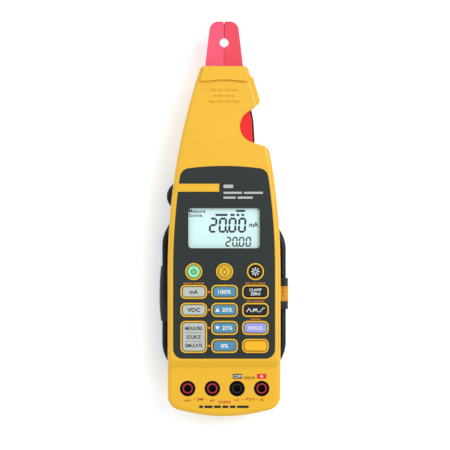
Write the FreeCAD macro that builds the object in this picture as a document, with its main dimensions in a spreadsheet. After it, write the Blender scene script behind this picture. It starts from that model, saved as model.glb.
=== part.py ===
import FreeCAD, Part
import math
import os
import re

import Sketcher
from FreeCAD import Placement, Rotation, Vector

# Hand-held process clamp meter, millimetres. It lies on its back on z = 0, with the face up (+Z), the jaws
# towards +Y and +X to the right of the face. The origin is under the middle of its length and width.

# ---------------------------------------------------------------- driving dimensions

DRIVING = {
    # case outline, from the bottom end to the tips of the jaws
    "case_width": 70,
    "jack_zone": 36,
    "face_zone": 119.5,
    "head_zone": 62.4,
    "jaw_reach": 28.1,
    "nose_width": 29.1,
    "nose_round": 3,
    "corner_round": 9,
    "bottom_round": 95,
    "bottom_slope": 12,
    "side_corner": 63.4,
    "taper_run": 63.5,
    # case thickness, upwards from the surface that it lies on
    "bobbin_height": 12,
    "case_thick": 30.5,
    "parting_height": 25,
    "nose_front": 34.5,
    "nose_back": 15.5,
    "front_wall": 2.4,
    "back_wall": 2.2,
    "side_wall": 2.2,
    "rim_round": 2.8,
    "bend_round": 120,
    "step_drop": 2.5,
    "step_run": 4.8,
    "step_gap": 1.4,
    "step_round": 1.5,
    # finger notch and the guard above it
    "notch_radius": 10.5,
    "notch_x": 20.3,
    "notch_below_mouth": 37.7,
    "notch_upper_angle": 38.7,
    "notch_lower_angle": 17,
    "notch_tip_round": 1.5,
    "notch_heel_round": 6,
    "guard_bulge": 1.2,
    "guard_length": 22,
    "barrier_rise": 2.2,
    "barrier_width": 30.4,
    "barrier_top": 24.4,
    "barrier_length": 9.9,
    "barrier_arch": 1.6,
    "mark_rise": 0.4,
    "mark_width": 1.3,
    "mark_gap": 1.2,
    # face label and display
    "label_margin": 3.4,
    "label_depth": 0.8,
    "label_thick": 0.7,
    "label_round": 6,
    "label_arc": 167,
    "tab_height": 4.9,
    "tab_reach": 3,
    "tab_rise": 139.5,
    "display_width": 44.2,
    "display_height": 24.8,
    "display_rise": 116.9,
    "window_lip": 2,
    "window_thick": 1.1,
    # keys
    "column_pitch": 19.1,
    "row_pitch": 11.15,
    "row_rise": 44,
    "round_row_rise": 90,
    "key_width": 13.8,
    "key_height": 6,
    "key_round": 1.8,
    "round_key": 7.9,
    "key_gap": 0.45,
    "collar_wall": 0.9,
    "collar_rise": 0.8,
    "key_rise": 1.5,
    "key_travel": 0.8,
    "key_flange": 1,
    "key_edge": 0.5,
    "flange_thick": 0.8,
    "flange_gap": 0.1,
    "dome_height": 0.35,
    "mat_thick": 1.2,
    "dome_radius": 2.2,
    # boards, display unit and lamp
    "board_thick": 1.6,
    "board_length": 124,
    "board_post": 2.2,
    "glass_thick": 1.95,
    "light_thick": 1.15,
    "strip_width": 2,
    "holder_height": 3.2,
    "holder_wall": 2,
    "small_board_thick": 1.2,
    "small_board_width": 9,
    "small_board_length": 12,
    "lamp_radius": 1.3,
    "lamp_x": -6,
    "lamp_rise": 3.05,
    # input jacks for 4 mm plugs
    "jack_pitch": 15.3,
    "jack_rise": 17.4,
    "jack_hole": 4.9,
    "plug_radius": 2,
    "contact_wall": 0.5,
    "jack_tube": 3.3,
    "jack_groove": 4.4,
    "jack_groove_depth": 11,
    "jack_flange": 6.4,
    # jaws and lever
    "jaw_thick": 10,
    "jaw_base": 23.9,
    "jaw_tip": 17.4,
    "jaw_tip_round": 5.6,
    "jaw_gap": 0.3,
    "jaw_room": 0.4,
    "aperture_radius": 2.85,
    "aperture_below_tip": 13.2,
    "core_inner": 4.4,
    "core_outer": 7.4,
    "core_thick": 5,
    "core_room": 0.1,
    "pivot_x": 8,
    "pivot_below_mouth": 4.9,
    "pivot_radius": 1.5,
    "pivot_room": 0.04,
    "pivot_post": 3.2,
    "pivot_seat": 1.6,
    "rib_x": -6.6,
    "rib_width": 9.6,
    "rib_length": 7,
    "pin_radius": 1.2,
    "hub_radius": 5.2,
    "lever_top_x": 17,
    "lever_foot_x": 19.1,
    "lever_inner_x": 6.5,
    "lever_length": 48.4,
    "grip_thick": 1.1,
    "jaw_edge": 0.5,
    "spring_radius": 2.4,
    "spring_wire": 0.35,
    "spring_pitch": 2.2,
    # battery bay under the back, inside the bobbin that the lead is wound on
    "cell_radius": 7.1,
    "cell_length": 49.5,
    "cell_gap": 0.15,
    "spring_length": 4.6,
    "contact_thick": 0.5,
    "bay_wall": 1.5,
    "bobbin_wall": 1.8,
    "bobbin_length": 86.3,
    "bobbin_round": 14,
    "bobbin_rise": 74,
    "door_thick": 2,
    "door_recess": 0.4,
    "door_length": 75,
    "door_gap": 0.15,
    "door_post": 3.4,
    "end_room_width": 44,
    "end_room_length": 10.2,
    "cell_spring_radius": 3.4,
    "cell_spring_pitch": 1.3,
    "plate_width": 10,
    "plate_height": 11,
    # lead and its keepers
    "lead_radius": 2.1,
    "lead_room": 0.1,
    "lead_bend": 4.2,
    "strap_width": 19.6,
    "strap_thick": 1.2,
    "stripe_width": 9.6,
    "stripe_thick": 0.4,
    "flap_length": 35,
    "strap_bend": 3.4,
    "relief_width": 8,
    "relief_length": 9,
    "relief_wall": 1.2,
    "relief_stem": 2.5,
    # fasteners
    "screw_radius": 1.45,
    "screw_head": 2.8,
    "screw_head_height": 1.8,
    "screw_seat": 16.5,
    "boss_radius": 4.3,
    "board_screw": 1,
    "board_screw_head": 2.1,
    "fit_room": 0.1,
}

# Places and sizes that follow from the driving dimensions.
DERIVED = {
    "base_y": "-(jack_zone+face_zone+head_zone+jaw_reach)/2",
    "label_foot_y": "base_y+jack_zone",
    "label_top_y": "label_foot_y+face_zone",
    "mouth_y": "label_top_y+head_zone",
    "tip_y": "mouth_y+jaw_reach",
    "half_width": "case_width/2",
    "half_nose": "nose_width/2",
    "taper_y": "mouth_y-side_corner",
    "taper_angle": "atan((half_width-half_nose)/side_corner)",
    "side_round": "taper_run/tan(taper_angle/2)",
    "bow_x": "half_width-side_round",
    "bow_y": "taper_y-taper_run",
    "bottom_apex": "bottom_round*(1/cos(bottom_slope)-1)",
    "back_z": "bobbin_height",
    "face_z": "bobbin_height+case_thick",
    "jack_face_z": "face_z-step_drop",
    "front_inside_z": "face_z-front_wall",
    "jack_inside_z": "jack_face_z-front_wall",
    "back_inside_z": "back_z+back_wall",
    "slope_start_y": "label_top_y+3.5",
    "step_top_y": "label_foot_y-step_gap",
    "step_foot_y": "step_top_y-step_run",
    "jack_y": "base_y+jack_rise",
    "display_y": "base_y+display_rise",
    "label_floor_z": "face_z-label_depth",
    "collar_z": "face_z+collar_rise",
    "key_top_z": "face_z+key_rise",
    "flange_z": "front_inside_z-flange_gap-flange_thick",
    "mat_z": "flange_z-key_travel-0.05-dome_height-mat_thick",
    "board_z": "mat_z-board_thick",
    "jaw_floor_z": "parting_height-jaw_thick/2",
    "jaw_roof_z": "parting_height+jaw_thick/2",
    "notch_y": "mouth_y-notch_below_mouth",
    "flank_x": "notch_x-notch_radius*sin(notch_lower_angle)",
    "flank_y": "notch_y-notch_radius*cos(notch_lower_angle)",
    "flank_along": "(flank_x-bow_x)*cos(notch_lower_angle)-(flank_y-bow_y)*sin(notch_lower_angle)",
    "flank_off": "(flank_x-bow_x)^2+(flank_y-bow_y)^2-side_round^2",
    "flank_run": "sqrt(flank_along^2-flank_off)-flank_along",
    "heel_x": "flank_x+flank_run*cos(notch_lower_angle)-0.02",
    "heel_y": "flank_y-flank_run*sin(notch_lower_angle)",
    "heel_lean": "asin((heel_y-bow_y)/side_round)",
    "pivot_y": "mouth_y-pivot_below_mouth",
    "aperture_y": "tip_y-aperture_below_tip",
    "lever_foot_y": "mouth_y-lever_length",
    "bay_half_width": "4*cell_radius+2.5*cell_gap",
    "bobbin_half_width": "bay_half_width+bobbin_wall",
    "bobbin_y": "base_y+bobbin_rise",
    "bay_length": "cell_length+spring_length+2*contact_thick+2*cell_gap",
    "door_top_z": "door_recess+door_thick",
    "cell_z": "door_top_z+cell_gap+cell_radius",
    "bay_roof_z": "cell_z+cell_radius+cell_gap",
    "door_half_width": "bobbin_half_width-1.5",
    "door_screw_reach": "bay_length/2+bay_wall+3.6",
    "lead_pitch": "2*lead_radius+lead_room",
    "lead_low_z": "door_recess+strap_thick+lead_radius",
    "lead_high_z": "lead_low_z+lead_pitch",
    "lead_off": "lead_room+lead_radius",
    "coil_half_width": "bobbin_half_width+lead_off+lead_pitch",
    "strap_inner_x": "coil_half_width+lead_radius+2*lead_room",
    "strap_outer_x": "strap_inner_x+strap_thick",
    "strap_y": "bobbin_y+1.5",
    "lead_entry_x": "-11",
    "lead_entry_y": "bobbin_y-bobbin_length/2-lead_off",
    "relief_x": "-11",
    "relief_y": "label_top_y-7.3",
    "relief_low_z": "lead_high_z-lead_radius-relief_wall",
    "spring_x": "-8",
    "spring_y": "notch_y+1.7",
    "spring_reach": "lever_inner_x-spring_x-2.1",
    "rib_y": "mouth_y-rib_length",
    "rib_low_z": "jaw_floor_z-fit_room",
    "rib_high_z": "jaw_roof_z+fit_room",
    "pivot_low_z": "jaw_floor_z-jaw_room",
    "pivot_high_z": "jaw_roof_z+jaw_room",
    "lamp_z": "jaw_roof_z+lamp_rise",
    "sensor_board_y": "mouth_y-18.2",
    "sensor_board_z": "jaw_floor_z",
    "jack_board_z": "jack_face_z-15.2",
    "post_z": "board_z+board_thick",
    "bars_y": "display_height/2-0.4",
}

# Places across and along the case: screws, pins, posts and chips.
CASE_SCREWS = {
    "foot": ("0.3", "base_y+9.4"),
    "left": ("-21", "label_top_y+6"),
    "right": ("21", "label_top_y+6"),
    "nose": ("-11", "mouth_y-29"),
}
BOARD_ROWS = (
    ("half_width-5", "base_y+33.5"), ("half_width-5", "base_y+98"), ("half_width-13.5", "label_top_y-6.5")
)
BOARD_SCREWS = [(f"{side}*({x})", y) for x, y in BOARD_ROWS for side in (-1, 1)]
JAW_PINS = ("mouth_y-5.2", "mouth_y-8.8")
JACK_BOARD_POSTS = (("-15", "base_y+8.5"), ("15.6", "base_y+8.5"))
# Each chip under the main board: x, y above the board's middle, width, length, thickness.
CHIPS = (
    (-12, 23.5, 12, 12, 1.6),
    (10, 20.5, 9, 9, 1.4),
    (14, 42.5, 7, 5, 1.5),
    (-14, 46.5, 10, 6, 2.4),
    (0, -31.5, 14, 10, 2.6),
    (19, -33.5, 6, 12, 4),
)
# Each row of marks on the nose: its distance below the mouth and its width.
MARK_ROWS = ((15, 18), (18.6, 14), (22.2, 20))

doc = FreeCAD.newDocument("ClampMeter")
sheet = doc.addObject("Spreadsheet::Sheet", "Dims")
for row, (alias, value) in enumerate(DRIVING.items(), 1):
    sheet.set(f"A{row}", alias)
    sheet.set(f"B{row}", str(value))
    sheet.setAlias(f"B{row}", alias)
doc.recompute()

WORD = re.compile(r"[a-z_]+")


def spelled(text):
    """An expression in the names above, as FreeCAD reads it."""

    def swap(match):
        word = match.group(0)
        if word in DERIVED:
            return f"({spelled(DERIVED[word])})"
        return f"Dims.{word}" if word in DRIVING else word

    return WORD.sub(swap, str(text))


def number(text):
    """The value of an expression, as a plain number."""
    found = sheet.evalExpression(spelled(text))
    return float(getattr(found, "Value", found))


# ---------------------------------------------------------------- features bound to the sheet

UPRIGHT = Rotation()
ALONG_X = Rotation(Vector(0, 1, 0), 90)
ALONG_Y = Rotation(Vector(1, 0, 0), -90)
SIDE_VIEW = Rotation(Vector(1, 1, 1), 120)  # sketch x is +Y, sketch y is +Z


def place(thing, x=0, y=0, z=0, rotation=UPRIGHT):
    thing.Placement = Placement(Vector(), rotation)
    for axis, text in zip("xyz", (x, y, z)):
        thing.setExpression(f"Placement.Base.{axis}", spelled(text))
    return thing


def box(name, length, width, height, x=0, y=0, z=0):
    """A box centred on x and y, standing on z."""
    made = doc.addObject("Part::Box", name)
    made.setExpression("Length", spelled(length))
    made.setExpression("Width", spelled(width))
    made.setExpression("Height", spelled(height))
    return place(made, f"{x}-({length})/2", f"{y}-({width})/2", z)


def cylinder(name, radius, height, x=0, y=0, z=0, rotation=UPRIGHT):
    made = doc.addObject("Part::Cylinder", name)
    made.setExpression("Radius", spelled(radius))
    made.setExpression("Height", spelled(height))
    return place(made, x, y, z, rotation)


def round_corner(before, corner, after, radius):
    """Where a tangent arc of that radius starts and ends at a corner, and its centre."""
    back = (before - corner).normalize()
    on = (after - corner).normalize()
    half = back.getAngle(on) / 2
    run = radius / math.tan(half)
    centre = corner + (back + on).normalize() * (radius / math.sin(half))
    return corner + back * run, corner + on * run, centre


def draw(sketch, corners):
    """Draws a closed outline of straight runs and tangent arcs. A corner is (x, y) or (x, y, radius)."""
    corners = [tuple(c) + (0,) * (3 - len(c)) for c in corners]
    points = [Vector(number(x), number(y), 0) for x, y, _ in corners]
    radii = [number(r) for *_, r in corners]
    count = len(corners)
    bends = []
    for i, (point, radius) in enumerate(zip(points, radii)):
        after = points[(i + 1) % count]
        bends.append(round_corner(points[i - 1], point, after, radius) if radius else (point, point, None))
    for i in range(count):
        sketch.addGeometry(Part.LineSegment(bends[i][1], bends[(i + 1) % count][0]), False)
    for i, (x, y, r) in enumerate(corners):
        before = (i - 1) % count
        start, end, centre = bends[i]
        if centre is None:
            sketch.addConstraint(Sketcher.Constraint("Coincident", before, 2, i, 1))
            held = (i, 1)
        else:
            first = math.atan2(start.y - centre.y, start.x - centre.x)
            last = math.atan2(end.y - centre.y, end.x - centre.x)
            left_turn = (last - first) % (2 * math.pi) < math.pi
            circle = Part.Circle(centre, Vector(0, 0, 1), radii[i])
            arc = Part.ArcOfCircle(circle, *((first, last) if left_turn else (last, first)))
            bend = sketch.addGeometry(arc, False)
            near, far = (1, 2) if left_turn else (2, 1)
            sketch.addConstraint(Sketcher.Constraint("Tangent", before, 2, bend, near))
            sketch.addConstraint(Sketcher.Constraint("Tangent", bend, far, i, 1))
            size = sketch.addConstraint(Sketcher.Constraint("Radius", bend, radii[i]))
            sketch.setExpression(f"Constraints[{size}]", spelled(r))
            point = sketch.addGeometry(Part.Point(points[i]), True)
            sketch.addConstraint(Sketcher.Constraint("PointOnObject", point, 1, before))
            sketch.addConstraint(Sketcher.Constraint("PointOnObject", point, 1, i))
            held = (point, 1)
        for kind, text, value in (("DistanceX", x, points[i].x), ("DistanceY", y, points[i].y)):
            size = sketch.addConstraint(Sketcher.Constraint(kind, -1, 1, *held, value))
            sketch.setExpression(f"Constraints[{size}]", spelled(text))
    return sketch


def outline(name, corners, z=0, rotation=UPRIGHT, x=0, y=0):
    return place(draw(doc.addObject("Sketcher::SketchObject", name), corners), x, y, z, rotation)


def slab_corners(width, height, radius, x="0", y="0"):
    """The corners of a rounded rectangle centred on x, y."""
    signs = ((-1, -1), (1, -1), (1, 1), (-1, 1))
    return [(f"{x}+({sx})*({width})/2", f"{y}+({sy})*({height})/2", radius) for sx, sy in signs]


def prism(name, profile, height, direction=Vector(0, 0, 1)):
    """The profile pushed out along a direction by a length."""
    made = doc.addObject("Part::Extrusion", name)
    made.Base = profile
    made.DirMode = "Custom"
    made.Dir = direction
    made.Solid = True
    made.setExpression("LengthFwd", spelled(height))
    return made


def slab(name, width, height, radius, thick, x="0", y="0", z="0"):
    """A plate with a rounded rectangular outline, centred on x, y and standing on z."""
    return prism(name, outline(f"{name}_outline", slab_corners(width, height, radius, x, y), z), thick)


def fuse(name, *shapes):
    made = doc.addObject("Part::MultiFuse", name)
    made.Shapes = list(shapes)
    made.Refine = True
    return made


def cut(name, base, *tools):
    """Base less the tools."""
    made = doc.addObject("Part::Cut", name)
    made.Base = base
    made.Tool = tools[0] if len(tools) == 1 else fuse(f"{name}_tools", *tools)
    made.Refine = True
    return made


def common(name, *shapes):
    made = doc.addObject("Part::MultiCommon", name)
    made.Shapes = list(shapes)
    made.Refine = True
    return made


def middle(edge):
    return edge.valueAt((edge.FirstParameter + edge.LastParameter) / 2)


def slopes(shape, edge):
    """How far the faces on each side of an edge point up, from -1 to 1, the lower first."""
    found = []
    for face in shape.ancestorsOfType(edge, Part.Face):
        found.append(face.normalAt(*face.Surface.parameter(middle(edge))).z)
    return sorted(found)


def fillet(name, base, radius, wanted, kind="Part::Fillet"):
    """Rounds the edges for which wanted(shape, edge) holds; kind may be Part::Chamfer."""
    doc.recompute()
    size = number(radius)
    made = doc.addObject(kind, name)
    made.Base = base
    made.Edges = [(i, size, size) for i, e in enumerate(base.Shape.Edges, 1) if wanted(base.Shape, e)]
    return made


def top_rim(z):
    """Picks the edges that lie wholly at a height."""
    level = number(z)
    return lambda shape, edge: max(abs(edge.BoundBox.ZMin - level), abs(edge.BoundBox.ZMax - level)) < 1e-4


def sketch_on(body, name, role, corners, offset="0"):
    """A sketch on one of the body's origin planes."""
    sketch = body.newObject("Sketcher::SketchObject", name)
    plane = next(f for f in body.Origin.OriginFeatures if f.Role == role)
    sketch.AttachmentSupport = [(plane, "")]
    sketch.MapMode = "FlatFace"
    sketch.setExpression("AttachmentOffset.Base.z", spelled(offset))
    return draw(sketch, corners)


def turned(name, profile, x="0", y="0", z="0", rotation=UPRIGHT):
    """A PartDesign body turned about its own Z from (radius, height) corners."""
    body = doc.addObject("PartDesign::Body", name)
    sketch = sketch_on(body, f"{name}_profile", "XZ_Plane", profile)
    spin = body.newObject("PartDesign::Revolution", f"{name}_turn")
    spin.Profile = sketch
    spin.ReferenceAxis = (sketch, ["V_Axis"])
    spin.Angle = 360
    return place(body, x, y, z, rotation)


PARTS = {}


def part(node, shape):
    """Makes a shape the sub-part of that name."""
    shape.Label = node
    PARTS[node] = shape
    return shape


# ---------------------------------------------------------------- outer form of the case

def plan_corners():
    """Plan of the case: a wide round-ended body that tapers in one long curve to the nose."""
    shoulder = "base_y-bottom_apex+half_width*tan(bottom_slope)"
    right = [
        ("half_width", shoulder, "corner_round"),
        ("half_width", "taper_y", "side_round"),
        ("half_nose", "mouth_y", "nose_round"),
    ]
    left = [(f"-{x}", y, r) for x, y, r in reversed(right)]
    return [("0", "base_y-bottom_apex", "bottom_round"), *right, *left]


def side_corners(front_inset="0", back_inset="0"):
    """Side view of the case: flat back and face, a nose that thins, and the lower jack face."""
    return [
        ("base_y-1", f"back_z+{back_inset}"),
        ("slope_start_y-24", f"back_z+{back_inset}", "bend_round"),
        ("mouth_y+1", f"nose_back+{back_inset}"),
        ("mouth_y+1", f"nose_front-{front_inset}"),
        ("slope_start_y", f"face_z-{front_inset}", "bend_round"),
        ("step_top_y", f"face_z-{front_inset}", "step_round"),
        ("step_foot_y", f"jack_face_z-{front_inset}", "step_round"),
        ("base_y-1", f"jack_face_z-{front_inset}"),
    ]


def side_block(name, front_inset="0", back_inset="0"):
    profile = outline(
        f"{name}_side", side_corners(front_inset, back_inset), rotation=SIDE_VIEW, x="-case_width"
    )
    return prism(name, profile, "2*case_width", Vector(1, 0, 0))


def notch(name, room="0"):
    """The finger notch beside the lever, cut through both shells: a round end and two flanks that open."""
    radius = f"(notch_radius+{room})"
    reach, drop = 30, 14  # past the case on every side
    upper, lower = "notch_upper_angle", "notch_lower_angle"
    up_x, up_y = f"notch_x-{radius}*sin({upper})", f"notch_y+{radius}*cos({upper})"
    low_x, low_y = f"notch_x-{radius}*sin({lower})", f"notch_y-{radius}*cos({lower})"
    heel = [(f"{low_x}+{reach}*cos({lower})", f"{low_y}-{reach}*sin({lower})")]
    if room == "0":
        # The lower flank turns down the side of the case in one round heel.
        heel = [
            ("heel_x", "heel_y", "notch_heel_round"),
            (f"heel_x+{drop}*sin(heel_lean)", f"heel_y-{drop}*cos(heel_lean)"),
            (f"heel_x+{reach}", f"heel_y-{drop}*cos(heel_lean)"),
        ]
    flare = outline(
        f"{name}_flare",
        [
            ("notch_x", "notch_y"),
            (low_x, low_y),
            *heel,
            (f"{up_x}+{reach}*cos({upper})", f"{up_y}+{reach}*sin({upper})"),
            (up_x, up_y),
        ],
    )
    ring = cylinder(f"{name}_end", radius, "face_z+10", "notch_x", "notch_y")
    return fuse(name, ring, prism(f"{name}_mouth", flare, "face_z+10"))


def case_form():
    """The closed outer form of both shells together."""
    plan = prism("case_plan_block", outline("case_plan", plan_corners()), "face_z+5")
    form = common("case_block", plan, side_block("case_sides"))
    soft = fillet("case_rounded", form, "rim_round", is_rim)
    wide = prism("guard_plan_block", outline("guard_plan", plan_corners()), "face_z")
    place(wide, "guard_bulge")
    guard_y = "pivot_y-2-guard_length/2"
    band = slab("guard_band", "half_width", "guard_length", "3", "face_z", "half_width/2+6", guard_y)
    guard = common("guard", wide, band, side_block("guard_sides", "1.2", "1.2"))
    notched = cut("case_notched", fuse("case_guarded", soft, guard), notch("finger_notch"))
    return fillet("case_form", notched, "notch_tip_round", at_notch_corner)


def is_rim(shape, edge):
    """Edges between the side wall and the face or back."""
    found = slopes(shape, edge)
    return len(found) == 2 and abs(found[0]) + abs(found[1]) > 0.8 and min(
        abs(found[0]), abs(found[1])
    ) < 0.1


def at_notch_corner(shape, edge):
    """The upright outer corner above the finger notch."""
    low, high = number("notch_y+notch_radius"), number("notch_y+notch_radius+8")
    upright = edge.BoundBox.XLength < 1e-3 and edge.BoundBox.YLength < 1e-3 and edge.BoundBox.ZLength > 5
    return upright and middle(edge).x > number("notch_x+1") and low < middle(edge).y < high


def label_block(name, room, z, thick):
    """The plan of the face label: a little inside the case outline, with an arched top edge."""
    inset = doc.addObject("Part::Offset2D", f"{name}_inset")
    inset.Source = outline(f"{name}_case", plan_corners())
    inset.setExpression("Value", spelled(f"-(label_margin+{room})"))
    side = prism(f"{name}_side", inset, thick)
    place(side, 0, 0, z)
    foot = f"label_foot_y+{room}"
    peak = f"label_top_y-{room}+label_arc*(1/cos(10)-1)"
    reach = 60  # past the sides, where the arched top has dropped by ten degrees
    eaves = f"{peak}-{reach}*tan(10)"
    corners = [(-reach, foot), (reach, foot), (reach, eaves), (0, peak, "label_arc"), (-reach, eaves)]
    clip = prism(f"{name}_clip", outline(f"{name}_ends", corners, z), thick)
    block = common(f"{name}_block", side, clip)
    return fillet(f"{name}_soft", block, "label_round", at_label_corner)


def at_label_corner(shape, edge):
    """The four upright corners of the label."""
    y = middle(edge).y
    upright = edge.BoundBox.ZLength > 0.5 and edge.BoundBox.XLength < 1e-3 and edge.BoundBox.YLength < 1e-3
    return upright and (y < number("label_foot_y+1") or y > number("label_top_y-6"))


def split(name, form, low, high):
    """The slice of a form between two heights."""
    return common(name, form, box(f"{name}_range", "3*case_width", "400", f"({high})-({low})", 0, 0, low))


def cavity(name):
    """The room inside both shells, kept clear of the finger notch."""
    inset = doc.addObject("Part::Offset2D", f"{name}_inset")
    inset.Source = outline(f"{name}_case", plan_corners())
    inset.setExpression("Value", spelled("-side_wall"))
    sides = side_block(f"{name}_sides", "front_wall", "back_wall")
    room = common(f"{name}_room", prism(f"{name}_plan", inset, "face_z"), sides)
    return cut(name, room, notch(f"{name}_notch", "side_wall"))


def jaw_slot(name):
    """The slot at mid-thickness that the jaws and the lever stand in, open at the mouth and the notch."""
    low, thick = "jaw_floor_z-jaw_room", "jaw_thick+2*jaw_room"
    mouth = box(f"{name}_mouth", "jaw_base+2.6", "14", thick, "0.6", "mouth_y-4", low)
    lever = outline(
        f"{name}_lever",
        [
            (0, "lever_foot_y-2.2"),
            ("lever_foot_x-3", "lever_foot_y-2.2"),
            ("lever_foot_x+1", "lever_foot_y-0.5"),
            ("lever_top_x+2", "notch_y+9"),
            ("lever_top_x+1.5", "notch_y+16.5"),
            (0, "notch_y+16.5"),
        ],
        low,
    )
    return fuse(name, mouth, prism(f"{name}_side", lever, thick))


# ---------------------------------------------------------------- keys and their places

COLUMNS = {"left": "-column_pitch+0.3", "middle": "0.3", "right": "column_pitch+0.3"}


def row_y(row):
    """The height on the face of a row of keys, counted upwards from the lowest."""
    return f"base_y+row_rise+{row}*row_pitch"


ROUND_Y = "base_y+round_row_rise"
ROUND_KEYS = {"key_power": "left", "key_spotlight": "middle", "key_backlight": "right"}
WIDE_KEYS = {
    "key_milliamp": ("left", 3),
    "key_volt": ("left", 2),
    "key_full_scale": ("middle", 3),
    "key_step_up": ("middle", 2),
    "key_step_down": ("middle", 1),
    "key_zero_scale": ("middle", 0),
    "key_clamp_zero": ("right", 3),
    "key_pulse": ("right", 2),
    "key_hold": ("right", 1),
    "key_shift": ("right", 0),
}


def key_places():
    """Each key's node, x, y, width, height and corner radius."""
    places = [
        (node, COLUMNS[column], ROUND_Y, "round_key", "round_key", "round_key/2-0.01")
        for node, column in ROUND_KEYS.items()
    ]
    for node, (column, row) in WIDE_KEYS.items():
        places.append((node, COLUMNS[column], row_y(row), "key_width", "key_height", "key_round"))
    tall = "key_height+row_pitch"
    places.append(("key_mode", COLUMNS["left"], row_y(0.5), "key_width", tall, "key_round"))
    return places


def key_slab(name, place_of_key, grow, thick, z):
    """A slab with a key's outline, grown outwards by a margin."""
    _, x, y, width, height, radius = place_of_key
    return slab(name, f"{width}+2*({grow})", f"{height}+2*({grow})", f"{radius}+({grow})", thick, x, y, z)


def key(place_of_key):
    node = place_of_key[0]
    flange = key_slab(f"{node}_flange", place_of_key, "key_flange", "flange_thick", "flange_z")
    cap = key_slab(f"{node}_cap", place_of_key, "0", "key_top_z-flange_z", "flange_z")
    body = fuse(f"{node}_body", flange, cap)
    return fillet(f"{node}_soft", body, "key_edge", top_rim("key_top_z"))


# ---------------------------------------------------------------- fasteners


def screw(name, radius, length, head, height, x, y, z):
    """A plain-shanked screw that stands on its head at z and points up."""
    corners = [("0", "0"), (head, "0"), (head, height), (radius, height), (radius, f"{height}+{length}")]
    corners.append(("0", f"{height}+{length}"))
    return turned(name, corners, x, y, z)


# ---------------------------------------------------------------- front shell

def front_case(form, room):
    shell = cut("front_hollow", split("front_block", form, "parting_height", "face_z+5"), room)
    barrier = outline(
        "barrier_plan",
        [
            ("-barrier_top/2", "mouth_y-0.3", "1.2"),
            ("-barrier_width/2", "mouth_y-barrier_length", "1"),
            (0, "mouth_y-barrier_length+barrier_arch", 60),
            ("barrier_width/2", "mouth_y-barrier_length", "1"),
            ("barrier_top/2", "mouth_y-0.3", "1.2"),
        ],
        "nose_front-3",
    )
    raised = common(
        "barrier", prism("barrier_block", barrier, "10"), side_block("barrier_sides", "-barrier_rise")
    )
    solids = [shell, raised, marks()]
    for p in key_places():
        height = "collar_z-front_inside_z"
        solids.append(key_slab(f"{p[0]}_collar", p, "key_gap+collar_wall", height, "front_inside_z"))
    for name, (x, y) in CASE_SCREWS.items():
        top = {"foot": "jack_inside_z", "nose": "front_inside_z-4"}.get(name, "front_inside_z")
        height = f"{top}+0.5-parting_height"
        solids.append(cylinder(f"front_post_{name}", "boss_radius-0.9", height, x, y, "parting_height"))
    for i, (x, y) in enumerate(BOARD_SCREWS):
        solids.append(
            cylinder(f"board_post_{i}", "board_post", "front_inside_z+0.3-post_z", x, y, "post_z")
        )
    solids.append(
        box(
            "jaw_rib_front",
            "rib_width",
            "rib_length",
            "nose_front-1-rib_high_z",
            "rib_x",
            "rib_y",
            "rib_high_z",
        ),
    )
    height = "nose_front-0.6-pivot_high_z"
    solids.append(cylinder("pivot_post_front", "pivot_post", height, "pivot_x", "pivot_y", "pivot_high_z"))
    body = fuse("front_solid", *solids)

    recess = cut(
        "label_recess",
        label_block("recess", "0", "label_floor_z", "label_depth+0.01"),
        tab("tab_island", "0"),
    )
    islands = [
        key_slab(f"{p[0]}_island", p, "key_gap+collar_wall", "3", "label_floor_z-1")
        for p in key_places()
    ]
    tools = [cut("recess_tool", recess, *islands)]
    tools += [key_slab(f"{p[0]}_hole", p, "key_gap", "10", "front_inside_z-1") for p in key_places()]
    tools.append(
        slab("window_hole", "display_width", "display_height", "2", "6", 0, "display_y", "front_inside_z-1")
    )
    tools.append(
        window_slab("window_seat", "0", "label_depth+window_thick+0.01", "label_floor_z-window_thick")
    )
    for i in range(4):
        tools.append(
            cylinder(f"jack_opening_{i}", "jack_hole", "10", jack_x(i), "jack_y", "jack_inside_z-1")
        )
    for name, (x, y) in CASE_SCREWS.items():
        tools.append(cylinder(f"front_bore_{name}", "screw_radius+0.05", "8", x, y, "parting_height-1"))
    for i, (x, y) in enumerate(BOARD_SCREWS):
        tools.append(cylinder(f"board_bore_{i}", "board_screw+0.03", "3.9", x, y, "post_z-1"))
    tools.append(
        cylinder(
            "pivot_socket_front",
            "pivot_radius+0.03",
            "pivot_seat+1",
            "pivot_x",
            "pivot_y",
            "pivot_high_z-1",
        ),
    )
    tools.append(cylinder("lamp_hole", "lamp_radius+0.05", "8", "lamp_x", "mouth_y-7.5", "lamp_z", ALONG_Y))
    tools.append(jaw_slot("front_slot"))
    return part("front_case", cut("front_shell", body, *tools))


def marks():
    """Three short rows of plain raised marks on the nose, in place of moulded text."""
    bars = []
    for i, (drop, width) in enumerate(MARK_ROWS):
        for j in range(4):
            x = f"({j}-1.5)*{width}/4"
            length = f"{width}/4-mark_gap"
            bars.append(
                box(f"mark_{i}_{j}", length, "mark_width", "14", x, f"mouth_y-{drop}", "nose_front-2")
            )
    return common("marks", fuse("mark_bars", *bars), side_block("mark_sides", "-mark_rise"))


def tab(name, room):
    """The plain rectangle of case that shows through the label's left edge."""
    width, height = f"half_width-tab_reach+2*{room}+4", f"tab_height+2*{room}"
    x, y = "-(half_width+tab_reach+4)/2", "base_y+tab_rise+tab_height/2"
    return box(name, width, height, "4", x, y, "label_floor_z-2")


def window_slab(name, room, thick, z):
    width, height = f"display_width+2*window_lip-2*{room}", f"display_height+2*window_lip-2*{room}"
    return slab(name, width, height, "3", thick, 0, "display_y", z)


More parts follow.
